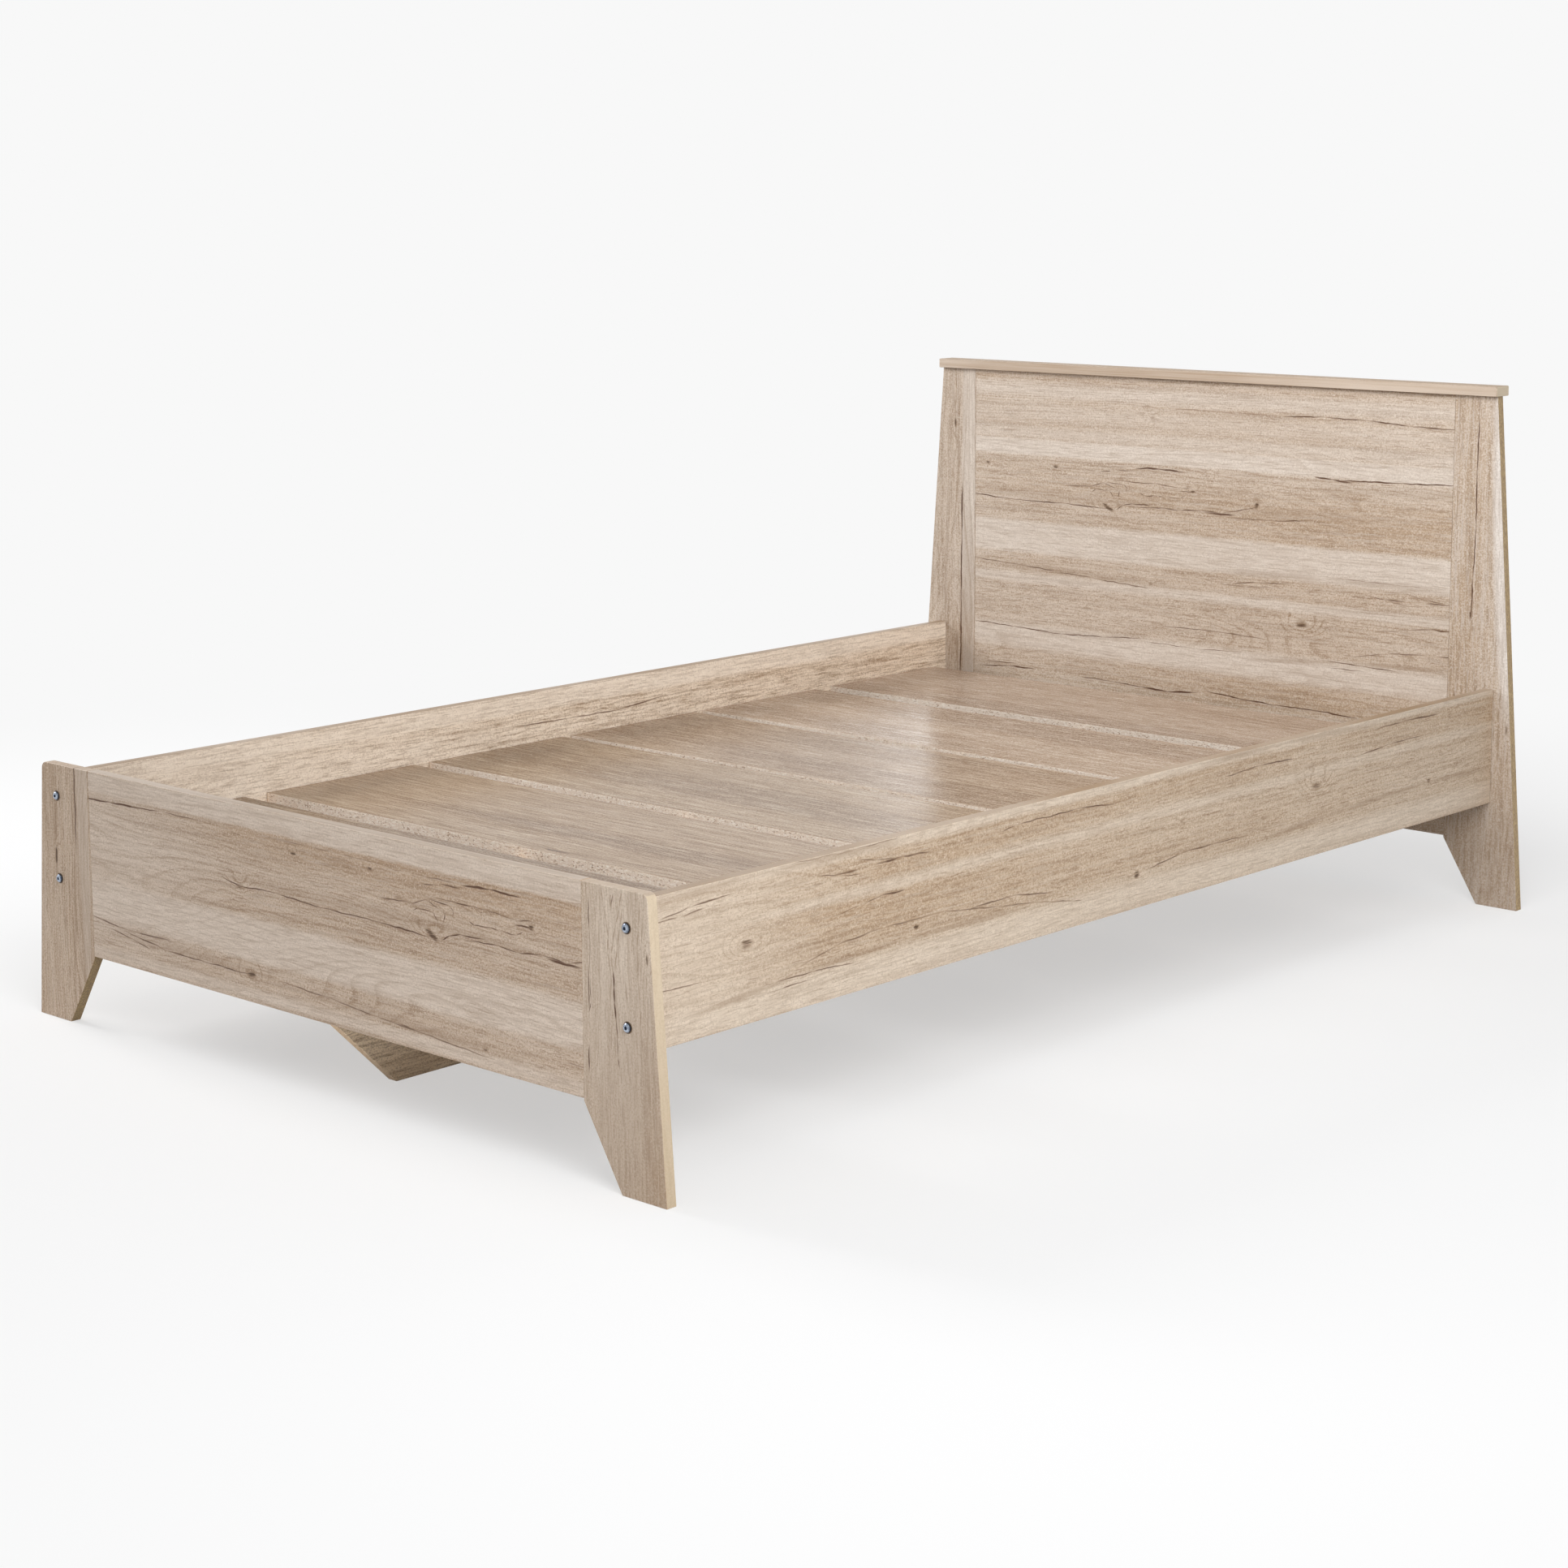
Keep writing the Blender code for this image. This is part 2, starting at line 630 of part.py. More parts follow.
def add_cams(name, stud_places, back_y, panel, posts, holder):
    """Add cam discs and studs, with their holes in the panel and in the posts that it is pulled to."""
    places = disc_places(stud_places, back_y)
    add_fittings(disc_mesh(), places, DIECAST, holder)
    add_fittings(stud_mesh(), stud_places, ZINC, holder)

    cam_hole = cylinder_profile(CAM_RADIUS + SEAT_GAP, -OVERRUN, CAM_BORE_DEPTH)
    shank_hole = cylinder_profile(STUD_SHANK_RADIUS + SEAT_GAP, -OVERRUN, CAM_SETBACK)
    thread_hole = cylinder_profile(
        STUD_THREAD_RADIUS + SEAT_GAP, -STUD_THREAD_LENGTH - BORE_END_PLAY, OVERRUN
    )
    cam_holes = add_cutter(f"{name}_cam_hole_cutter", turned_mesh(cam_hole, ROUND_SIDES), places.values())
    shank_holes = add_cutter(
        f"{name}_shank_hole_cutter", turned_mesh(shank_hole, BORE_SIDES), stud_places.values()
    )
    thread_holes = add_cutter(
        f"{name}_thread_hole_cutter", turned_mesh(thread_hole, BORE_SIDES), stud_places.values()
    )
    cut([panel], [cam_holes, shank_holes])
    cut(posts, [thread_holes])


def add_cleat_screws(cleats, rails, holder):
    """Add the countersunk screws that hold the cleats to the rails, with their holes."""
    places = cleat_screw_places()
    add_fittings(turned_mesh(cleat_screw_profile(0.0, 0.0), BORE_SIDES), places, ZINC, holder)
    hole = turned_mesh(cleat_screw_profile(SEAT_GAP, OVERRUN), BORE_SIDES)
    cut(cleats + rails, [add_cutter("cleat_screw_hole_cutter", hole, places.values())])


def main():
    """Build the bed."""
    clear_objects()
    foot = assembly("footboard_assembly", FOOT_BACK_Y)
    head = assembly("headboard_assembly", HEAD_BACK_Y)
    middle = assembly("frame_assembly", MIDDLE_Y)

    foot_posts, foot_panel = add_end_boards("footboard", FOOTBOARD_HEIGHT, True, FOOT_BACK_Y, foot)
    head_posts, head_panel = add_end_boards("headboard", HEADBOARD_HEIGHT, False, HEAD_BACK_Y, head)
    cap = add_cap(head)
    rails = add_rails(middle)
    cleats = add_cleats(middle)
    add_slats(middle)
    support = add_support(middle)

    add_rail_screws(foot_posts + head_posts, rails, foot, head)
    add_cleat_screws(cleats, rails, middle)
    add_cams(
        "footboard",
        edge_joint_places("footboard", "cam_stud", FOOT_CAM_SHARES, FOOTBOARD_HEIGHT, FOOT_BACK_Y),
        FOOT_BACK_Y,
        foot_panel,
        foot_posts,
        foot,
    )
    add_cams(
        "headboard",
        edge_joint_places("headboard", "cam_stud", HEAD_CAM_SHARES, HEADBOARD_HEIGHT, HEAD_BACK_Y),
        HEAD_BACK_Y,
        head_panel,
        head_posts,
        head,
    )

    half_edge = EDGE_DOWEL_LENGTH / 2
    foot_dowels = edge_joint_places("footboard", "dowel", FOOT_DOWEL_SHARES, FOOTBOARD_HEIGHT, FOOT_BACK_Y)
    add_dowels("footboard_dowel", -half_edge, half_edge, foot_dowels, foot_posts + [foot_panel], foot)
    head_dowels = edge_joint_places("headboard", "dowel", HEAD_DOWEL_SHARES, HEADBOARD_HEIGHT, HEAD_BACK_Y)
    add_dowels("headboard_dowel", -half_edge, half_edge, head_dowels, head_posts + [head_panel], head)
    far = FACE_DOWEL_LENGTH - FACE_DOWEL_DEPTH
    cap_pieces = [cap, head_panel] + head_posts
    add_dowels("cap_dowel", -FACE_DOWEL_DEPTH, far, cap_dowel_places(), cap_pieces, head)
    support_pieces = [foot_panel, head_panel, support]
    add_dowels("support_dowel", -FACE_DOWEL_DEPTH, far, support_dowel_places(), support_pieces, middle)


main()
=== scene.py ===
"""Dresses the low bed of light oak decor chipboard and sets up its studio picture.

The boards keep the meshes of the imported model. Each gets a finish of its own, cut from one printed oak
sheet that repeats along the bed, as real decor paper does. New pieces are the edge tapes, the broken
chipboard edges of the loose slat boards and the pressed rings under the screw heads.
"""

import logging
import math
from dataclasses import dataclass, field, replace
from enum import Enum

import bmesh
import bpy
import numpy as np
from mathutils import Matrix, Vector


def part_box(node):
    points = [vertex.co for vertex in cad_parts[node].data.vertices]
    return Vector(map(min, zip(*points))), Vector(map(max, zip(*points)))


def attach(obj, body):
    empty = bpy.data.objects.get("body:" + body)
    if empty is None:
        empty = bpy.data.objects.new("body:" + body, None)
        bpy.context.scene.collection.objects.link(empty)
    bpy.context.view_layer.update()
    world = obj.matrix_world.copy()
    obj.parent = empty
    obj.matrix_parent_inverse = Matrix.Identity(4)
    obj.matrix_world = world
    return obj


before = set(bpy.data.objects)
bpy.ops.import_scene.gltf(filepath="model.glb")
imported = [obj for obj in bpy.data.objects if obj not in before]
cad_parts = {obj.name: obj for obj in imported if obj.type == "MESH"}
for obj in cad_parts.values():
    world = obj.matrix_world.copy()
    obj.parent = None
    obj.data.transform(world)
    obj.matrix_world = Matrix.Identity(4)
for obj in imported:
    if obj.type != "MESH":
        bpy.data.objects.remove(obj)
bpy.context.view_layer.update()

LOG = logging.getLogger("bed")
MILLIMETRE = 0.001

BUMP_DEPTH = 0.35 * MILLIMETRE
SAME_POINT = 0.001 * MILLIMETRE
# How squarely a surface has to face along the sheet's directions to count as a back, a face or an end
BACK_SHARE = 0.5
FACE_SHARE = 0.6
END_SHARE = 0.8
# How far outside a board's window, in metres, the bent sheet can still bring a mark into it
TOUCH_MARGIN = 0.03
NO_TINT = (1.0, 1.0, 1.0)
NOWHERE = (0.0, 0.0, 0.0)

Socket = bpy.types.NodeSocket
Triple = tuple[float, float, float]


def linear(red: float, green: float, blue: float) -> tuple[float, float, float, float]:
    """Turn a screen colour into the colour that Blender's sockets take.

    Args:
        red: Red as written in a picture, from 0 to 255.
        green: Green, from 0 to 255.
        blue: Blue, from 0 to 255.

    Returns:
        The linear colour with an opaque alpha.
    """
    shares = np.array([red, green, blue]) / 255.0
    values = np.where(shares <= 0.04045, shares / 12.92, ((shares + 0.055) / 1.055) ** 2.4)
    return (float(values[0]), float(values[1]), float(values[2]), 1.0)


class Tone(Enum):
    """The colours that the finishes are mixed from, as written in a picture."""

    OAK_WHITE = (232, 223, 213)
    OAK_PALE = (226, 214, 201)
    OAK_LIGHT = (213, 197, 180)
    OAK_MID = (199, 179, 158)
    OAK_TAN = (183, 157, 129)
    OAK_RING = (150, 123, 94)
    OAK_BROWN = (134, 109, 85)
    CRACK = (72, 38, 14)
    KNOT = (70, 44, 20)
    SLAT_LIGHT = (176, 155, 136)
    SLAT_MID = (158, 134, 113)
    SLAT_DARK = (136, 111, 90)
    TAPE_CREAM = (206, 190, 164)
    CAP_TAPE = (180, 162, 144)
    CHIP_PALE = (246, 236, 224)
    CHIP_MID = (228, 211, 194)
    CHIP_DARK = (158, 128, 104)
    CHIP_GOLD = (186, 156, 112)
    EDGE_GOLD = (158, 130, 92)
    ZINC = (184, 194, 208)
    ZINC_DULL = (120, 130, 148)
    ZINC_PAINTED_SHADE = (44, 50, 64)
    DIE_CAST = (142, 143, 146)
    BEECH = (206, 170, 124)
    BEECH_DARK = (168, 126, 82)
    SEAT_PAINTED_SHADE = (84, 70, 58)
    STUDIO = (248, 248, 248)

    @property
    def colour(self) -> tuple[float, float, float, float]:
        """The tone as a linear colour."""
        return linear(*self.value)


class Weave(Enum):
    """The noises of the finishes: cells in a metre along the grain and across it, detail and roughness."""

    SWAY = (2.2, 7.0, 1.0, 0.5)
    SHIVER = (38.0, 90.0, 2.0, 0.5)
    PLANKS = (0.55, 8.5, 1.5, 0.5)
    RINGS = (0.9, 5.2, 1.6, 0.45)
    ZONES = (1.7, 12.0, 1.0, 0.5)
    STREAKS = (4.5, 130.0, 3.0, 0.65)
    FIBRES = (16.0, 330.0, 3.0, 0.7)
    PORES = (34.0, 620.0, 2.0, 0.6)
    TAPE_STREAKS = (5.0, 420.0, 3.0, 0.6)
    TAPE_CLOUDS = (3.0, 9.0, 2.0, 0.5)
    BEECH_STREAKS = (60.0, 900.0, 2.0, 0.6)
    BEECH_RAYS = (420.0, 2400.0, 1.0, 0.5)


class Wires:
    """Adds nodes to one material, or to the world, and joins them."""

    def __init__(self, owner: bpy.types.Material | bpy.types.World,
                 output: str = "ShaderNodeOutputMaterial") -> None:
        """Start with an empty tree that ends in a surface output.

        Args:
            owner: The material or world whose nodes are made.
            output: Blender's name of the node that the tree ends in.
        """
        self.owner = owner
        owner.use_nodes = True
        self.tree = owner.node_tree
        self.tree.nodes.clear()
        self.output = self.tree.nodes.new(output)

    def node(self, kind: str, inputs: dict[str | int, object], **settings: object) -> bpy.types.Node:
        """Add a node, apply its settings, and fill or join its inputs.

        Args:
            kind: Blender's name of the node type.
            inputs: A value or an output socket for each named or numbered input.
            settings: Properties of the node itself.

        Returns:
            The new node.
        """
        made = self.tree.nodes.new(kind)
        for key, value in settings.items():
            setattr(made, key, value)
        for key, value in inputs.items():
            if isinstance(value, bpy.types.NodeSocket):
                self.tree.links.new(value, made.inputs[key])
            else:
                made.inputs[key].default_value = value
        return made

    def place(self, output: str = "Object") -> Socket:
        """Give the place on the object in metres, or another output of Texture Coordinate."""
        return self.node("ShaderNodeTexCoord", {}).outputs[output]

    def part(self, vector: Socket, number: int) -> Socket:
        """Give the numbered part of a vector."""
        return self.node("ShaderNodeSeparateXYZ", {0: vector}).outputs[number]

    def maths(self, operation: str, first: object, second: object = 0.0, third: object = 0.0) -> Socket:
        """Join up to three numbers or sockets by one operation of the Math node."""
        return self.node("ShaderNodeMath", {0: first, 1: second, 2: third}, operation=operation).outputs[0]

    def times(self, first: object, second: object) -> Socket:
        """Multiply two numbers."""
        return self.maths("MULTIPLY", first, second)

    def vectors(self, operation: str, first: object, second: object = NOWHERE,
                third: object = NOWHERE) -> Socket:
        """Join vectors by one operation of the Vector Math node, into a vector or a number."""
        made = self.node("ShaderNodeVectorMath", {0: first, 1: second, 2: third}, operation=operation)
        return made.outputs["Value" if operation in ("DOT_PRODUCT", "LENGTH") else "Vector"]

    def scaled(self, vector: Socket, by: Triple) -> Socket:
        """Multiply a vector by one factor for each of its directions."""
        return self.vectors("MULTIPLY", vector, by)

    def noise(self, vector: Socket, scale: float = 1.0, detail: float = 2.0, roughness: float = 0.5,
              output: str = "Fac") -> Socket:
        """Add a noise with so many cells in a metre: Fac for one number, or Color for three that differ."""
        inputs = {"Vector": vector, "Scale": scale, "Detail": detail, "Roughness": roughness}
        return self.node("ShaderNodeTexNoise", inputs).outputs[output]

    def woven(self, sheet: Socket, weave: Weave, output: str = "Fac") -> Socket:
        """Add a noise that is stretched along the grain."""
        along, across, detail, roughness = weave.value
        return self.noise(self.scaled(sheet, (along, across, across)), 1.0, detail, roughness, output)

    def spread(self, value: Socket, low: float, high: float, new_low: float = 0.0,
               new_high: float = 1.0, smooth: bool = False) -> Socket:
        """Stretch the range from low to high over a new range, and hold it there.

        Args:
            value: The number to stretch.
            low: The start of the old range.
            high: The end of the old range.
            new_low: The start of the new range.
            new_high: The end of the new range.
            smooth: Whether the ends are eased.

        Returns:
            The stretched number's socket.
        """
        inputs = {"Value": value, "From Min": low, "From Max": high, "To Min": new_low, "To Max": new_high}
        way = "SMOOTHSTEP" if smooth else "LINEAR"
        return self.node("ShaderNodeMapRange", inputs, interpolation_type=way, clamp=True).outputs[0]

    def mix(self, factor: object, first: object, second: object, blend: str = "MIX") -> Socket:
        """Mix two colours, where the factor is the second one's share, or blend them in another way."""
        inputs = {0: factor, 6: first, 7: second}
        return self.node("ShaderNodeMix", inputs, data_type="RGBA", blend_type=blend).outputs[2]

    def ramp(self, value: Socket, *stops: tuple[float, Tone]) -> Socket:
        """Turn a number into a colour between tones at given places from 0 to 1."""
        made = self.node("ShaderNodeValToRGB", {0: value})
        bar = made.color_ramp
        while len(bar.elements) < len(stops):
            bar.elements.new(0.5)
        for element, (place, tone) in zip(bar.elements, stops):
            element.position = place
            element.color = tone.colour
        return made.outputs[0]

    def bump(self, height: Socket, distance: float, strength: float = 1.0) -> Socket:
        """Turn a height into a surface normal, with its full height in metres."""
        inputs = {"Height": height, "Distance": distance, "Strength": strength}
        return self.node("ShaderNodeBump", inputs).outputs[0]

    def stained(self, colour: Socket, tone: Tone, value: Socket, low: float, high: float,
                share: float = 1.0) -> Socket:
        """Mix a tone into a colour, from none where the value is low to a full share where it is high."""
        return self.mix(self.spread(value, low, high, 0.0, share), colour, tone.colour)

    def tinted(self, colour: Socket, tint: Triple) -> Socket:
        """Multiply a colour by a tint."""
        return self.mix(1.0, colour, (*tint, 1.0), "MULTIPLY")

    def end(self, shader: Socket) -> None:
        """End the tree in this shader."""
        self.tree.links.new(shader, self.output.inputs[0])

    def surface(self, **inputs: object) -> bpy.types.Material:
        """End in a Principled shader, with _ for a space in its inputs' names, and give the owner."""
        named = {key.replace("_", " "): value for key, value in inputs.items()}
        self.end(self.node("ShaderNodeBsdfPrincipled", named).outputs[0])
        return self.owner


class MarkKind(Enum):
    """What a mark on the printed oak sheet is."""

    KNOT = "knot"
    CRACK = "crack"
    STREAK = "streak"
    LIGHT = "light"


@dataclass(frozen=True)
class Mark:
    """One knot, crack, brown streak or light band, as an ellipse on the sheet. Most are the print's; a few light
    bands are painted light and one brown streak is a painted shadow.

    The place is the sheet's distance along the grain and across it, in metres.
    """

    kind: MarkKind
    along: float
    across: float
    half_length: float
    half_width: float
    tilt: float = 0.0
    strength: float = 1.0

    def touches(self, low: tuple[float, float], high: tuple[float, float]) -> bool:
        """Say whether the mark reaches into a window of the sheet."""
        reach = self.half_length + self.half_width
        rise = self.half_width + TOUCH_MARGIN
        return (low[0] - reach < self.along < high[0] + reach
                and low[1] - rise < self.across < high[1] + rise)


def spot(kind: MarkKind, along: float, across: float, half_length: float, half_width: float,
         strength: float = 1.0, tilt: float = 0.0) -> Mark:
    """Put one mark on the sheet, with its place and half sizes in millimetres and its tilt in radians."""
    return Mark(kind, along * MILLIMETRE, across * MILLIMETRE, half_length * MILLIMETRE,
                half_width * MILLIMETRE, tilt, strength)


def trail(kind: MarkKind, half_width: float, strength: float, *places: tuple[float, float]) -> list[Mark]:
    """Lay a line of long thin marks from place to place on the sheet.

    Args:
        kind: What the marks are.
        half_width: Half the line's width in millimetres.
        strength: How dark or light the line is, up to 1.
        places: The line's corners in millimetres, along and across the grain.

    Returns:
        One mark for each pair of neighbouring places.
    """
    marks = []
    for (start, low), (end, high) in zip(places[:-1], places[1:]):
        half_length = math.hypot(end - start, high - low) / 2 * TRAIL_OVERLAP
        tilt = math.atan2(high - low, end - start)
        middle = ((start + end) / 2, (low + high) / 2)
        marks.append(spot(kind, *middle, half_length, half_width, strength, tilt))
    return marks


def spots(kind: MarkKind, rows: tuple[tuple, ...]) -> list[Mark]:
    """Put single marks of one kind on the sheet, with what spot takes in each row."""
    return [spot(kind, *row) for row in rows]


def trails(kind: MarkKind, rows: tuple[tuple, ...]) -> list[Mark]:
    """Lay lines of one kind, each row with half a width, a strength and the line's corners."""
    return [mark for row in rows for mark in trail(kind, *row)]


KNOT = MarkKind.KNOT
CRACK = MarkKind.CRACK
STREAK = MarkKind.STREAK
LIGHT = MarkKind.LIGHT
TRAIL_OVERLAP = 1.12
PLANK_SPREAD = 0.16
RING_CONTOURS = 44.0
RINGS_A_METRE = 120.0
# How much longer and wider than listed the marks are drawn
GROWTH: dict[MarkKind, tuple[float, float]] = {CRACK: (1.25, 1.15), KNOT: (1.2, 1.3)}
# How much longer and wider than a knot the growth rings' hill round it is, and how steep
HILL_LENGTH = 4.5
HILL_WIDTH = 5.5
HILL_RISE = 220.0
# How strongly streaks, fibres and specks darken and lighten the decor
GRAIN_SHARES = ((0.64, 0.56), (1.0, 1.0), (0.85, 0.85))
# How far the sheet sways and shivers along the grain and across it, in metres
SWAY_REACH = (0.0, 0.014, 0.0)
SHIVER_REACH = (0.004, 0.0042, 0.0)
# How much of a light band's tone shows under the grain and over it
PALE_UNDER = 0.8
PALE_OVER = 0.34
# How much of the tape's own tone shows over the decor's
TAPE_SHARE = 0.62
SHEET_MARKS: list[Mark] = [
    # Light bands across the whole sheet
    *spots(LIGHT, (
        (0, 526, 4000, 34, 0.75), (0, 688, 4000, 17, 0.7), (0, 745, 4000, 30, 0.2),
        (0, 345, 4000, 30, 0.45), (0, 452, 4000, 12, 0.3), (0, 790, 4000, 20, 0.25),
        (0, 715, 4000, 20, 0.25),
    )),
    # Brown bands along the darker planks
    *trails(STREAK, (
        (9, 0.35, (-950, 488), (-500, 477), (0, 462)), (12, 0.3, (-600, 605), (0, 603), (450, 612)),
        (10, 0.3, (200, 655), (600, 658)),
    )),
    # The long crack that runs into the big knot
    *trails(CRACK, (
        (1.1, 0.75, (-612, 600), (-576, 593.5), (-500, 596), (-403, 591.5), (-293, 592), (-190, 589)),
        (1.0, 0.7, (-173.6, 589.6), (-160.4, 596.8), (-140.6, 601.7), (-101.3, 602.1)),
        (1.0, 0.7, (-127.5, 596.4), (-71, 599.1), (-38.8, 597.5), (5.9, 600.5), (48, 599), (118, 613.7)),
        # Thin lines that bend round the big knot and the small one beside it
        (0.9, 0.6, (-292.6, 624), (-231.6, 626.5), (-202.6, 634.8), (-178.8, 627.2)),
        (0.9, 0.6, (-227.1, 617), (-219.3, 621.6), (-190.3, 621), (-180.3, 610.5)),
        (1.0, 0.6, (-167.8, 623.9), (-171, 611.2)),
        (0.9, 0.6, (-195.9, 636.2), (-158.3, 634), (-151.2, 628.6), (-153.4, 622.2)),
        (0.9, 0.56, (-180.4, 639.9), (-92.7, 639.9), (-36.7, 635.9), (-15.4, 638.3)),
        (1.0, 0.68, (-209.3, 653.5), (-188.2, 656)), (1.4, 0.55, (-173.8, 658.8), (-138.6, 659.4)),
        (1.0, 0.6, (-123.6, 621.4), (-115.5, 617.4), (-86.2, 619.8), (-71.1, 617.6)),
        (0.9, 0.56, (-66.7, 618.8), (-38.8, 618.2), (-28.2, 623.4)),
        (1.0, 0.65, (-41, 629.4), (-13.3, 631.1)), (2.0, 0.8, (18, 597.5), (72, 597)),
        (1.0, 0.65, (69.8, 592.7), (150, 593.5), (220.3, 599)),
        (1.7, 0.9, (-132, 663.7), (-85, 666.2), (-36.8, 664.5)), (1.0, 0.5, (-210, 663), (-160, 664.5)),
        # Cracks near the headboard's top
        (1.1, 0.75, (171, 770.1), (250, 772.8), (330, 771.5), (410, 766.5), (493.4, 764.6)),
        (0.7, 0.4, (-50, 772), (80, 771), (171, 770.1)),
        (1.6, 0.7, (231.1, 673.5), (265, 670.5), (299.4, 667.5)),
        (1.3, 0.85, (290, 670.5), (400, 673), (500, 675.6)),
        # The crack at the left end, under the first light band
        (1.4, 0.8, (-920, 664.5), (-860, 665.5), (-790, 667)),
        (0.9, 0.6, (-820, 665.5), (-740, 669.5), (-660, 668.5)),
        (0.7, 0.35, (-500, 668), (-380, 667.5), (-250, 665.5)),
        # Lines in the brown planks
        (1.4, 0.5, (-920, 499), (-830, 491.5), (-730, 492.5)),
        (1.0, 0.6, (-867, 487), (-820, 481), (-778, 473)),
        (1.1, 0.6, (-828, 488), (-740, 478), (-659, 477), (-565, 477.2)),
        (1.1, 0.5, (-500, 479.5), (-380, 474), (-300, 468.5), (-238, 464.8), (-100, 456.5)),
        (1.6, 0.5, (-260, 467), (-225, 464.5)), (1.2, 0.45, (50, 478), (100, 477.5), (150, 481.5)),
        (0.8, 0.5, (335.6, 485.5), (380, 478), (421.5, 474)),
        (0.8, 0.5, (412.2, 493.1), (450, 486), (490.4, 482.6)),
        (0.8, 0.4, (280, 508), (400, 506.5), (490, 507.5)),
        # Cracks in the lower planks
        (0.9, 0.75, (-490.2, 363.7), (-400, 360.5), (-292.3, 357.1), (-200, 361.8), (-120, 366.5)),
        (0.8, 0.5, (-110, 362.5), (0, 360.5), (80, 364)), (1.0, 0.6, (-70, 393.5), (50, 395), (130, 392.5)),
        (1.3, 0.75, (-469.2, 282.6), (-410, 288), (-356.6, 287.5)), (1.2, 0.7, (-460, 291.5), (-400, 293)),
        (1.0, 0.6, (-246.8, 285.1), (-180, 284.5), (-113.6, 281.4)),
        (1.6, 0.9, (-115, 281.5), (-60, 279.5), (-1.4, 284.3)),
        (1.2, 0.85, (27.4, 289), (90, 284), (160, 281.2), (240, 281.5), (317.4, 277.8)),
        (0.9, 0.65, (269.5, 367.1), (330, 366.5), (400, 363.2)), (0.9, 0.5, (255, 356.5), (330, 357.5)),
    )),
    # Knots of the headboard and footboard
    *spots(KNOT, (
        (-193, 592, 14, 4, 1.0, -0.5), (-13.3, 631.1, 5, 3, 0.8), (117.8, 615.7, 7, 4, 0.9, 1.2),
        (-98.3, 464.9, 5, 3, 0.7), (213.2, 423.8, 13, 5, 0.75), (-462.5, 654.5, 6, 3, 0.7),
        (-309, 656.5, 6, 3, 0.7), (-99.1, 753.5, 6, 3, 0.5), (-576, 593.5, 8, 4, 0.6),
        (-556, 477, 9, 5, 0.85),
    )),
    *trails(STREAK, (
        (2.2, 0.7, (-435, 716.8), (-390, 716.5)),
    )),
    # Marks that only the rails show, further along the same sheet
    *spots(KNOT, (
        (525.8, 386.3, 5, 4, 0.8), (995.4, 372.8, 7, 5, 0.9), (1440.7, 430.3, 13, 6, 0.7),
        (1757.4, 390.3, 5, 4, 0.8), (1100, 432, 4, 3, 0.5),
    )),
    *trails(CRACK, (
        (1.2, 0.6, (71, 480.5), (120, 486.5), (187, 489.7)), (1.8, 0.55, (374, 480.6), (410, 480.3)),
        (1.7, 0.6, (451.6, 481.4), (500, 482), (546.7, 480.1)), (1.5, 0.65, (461.4, 439.5), (503.7, 438.3)),
        (1.0, 0.4, (360, 427), (420, 435), (461.4, 439.5)),
        (1.1, 0.7, (700, 482), (726.4, 486.2), (867, 486.2), (940, 481)),
        (1.3, 0.5, (312.8, 379.1), (380, 392), (456.6, 396.9), (574, 396.5), (686.4, 383.8)),
        (1.0, 0.5, (686.4, 383.8), (780, 373), (867.2, 359.3)),
        (1.2, 0.55, (620, 390), (720, 392), (800, 382.5)),
        (1.1, 0.6, (1020, 376), (1100, 385), (1180, 386.5), (1260, 384)),
        (1.2, 0.6, (1200, 478.5), (1300, 482.5), (1380, 479.5)),
        (1.2, 0.55, (1550, 458.5), (1640, 464.5), (1740, 465)),
        (1.5, 0.6, (1600, 493), (1680, 494.5), (1780, 492.5)),
    )),
    *trails(STREAK, (
        (5, 0.5, (100, 353), (300, 368), (500, 375), (750, 372)),
        (6, 0.5, (1300, 372), (1500, 382), (1750, 388), (1950, 384)),
        (7, 0.4, (30, 500), (250, 505), (500, 503)), (5, 0.5, (1150, 505), (1350, 506), (1600, 503)),
    )),
]
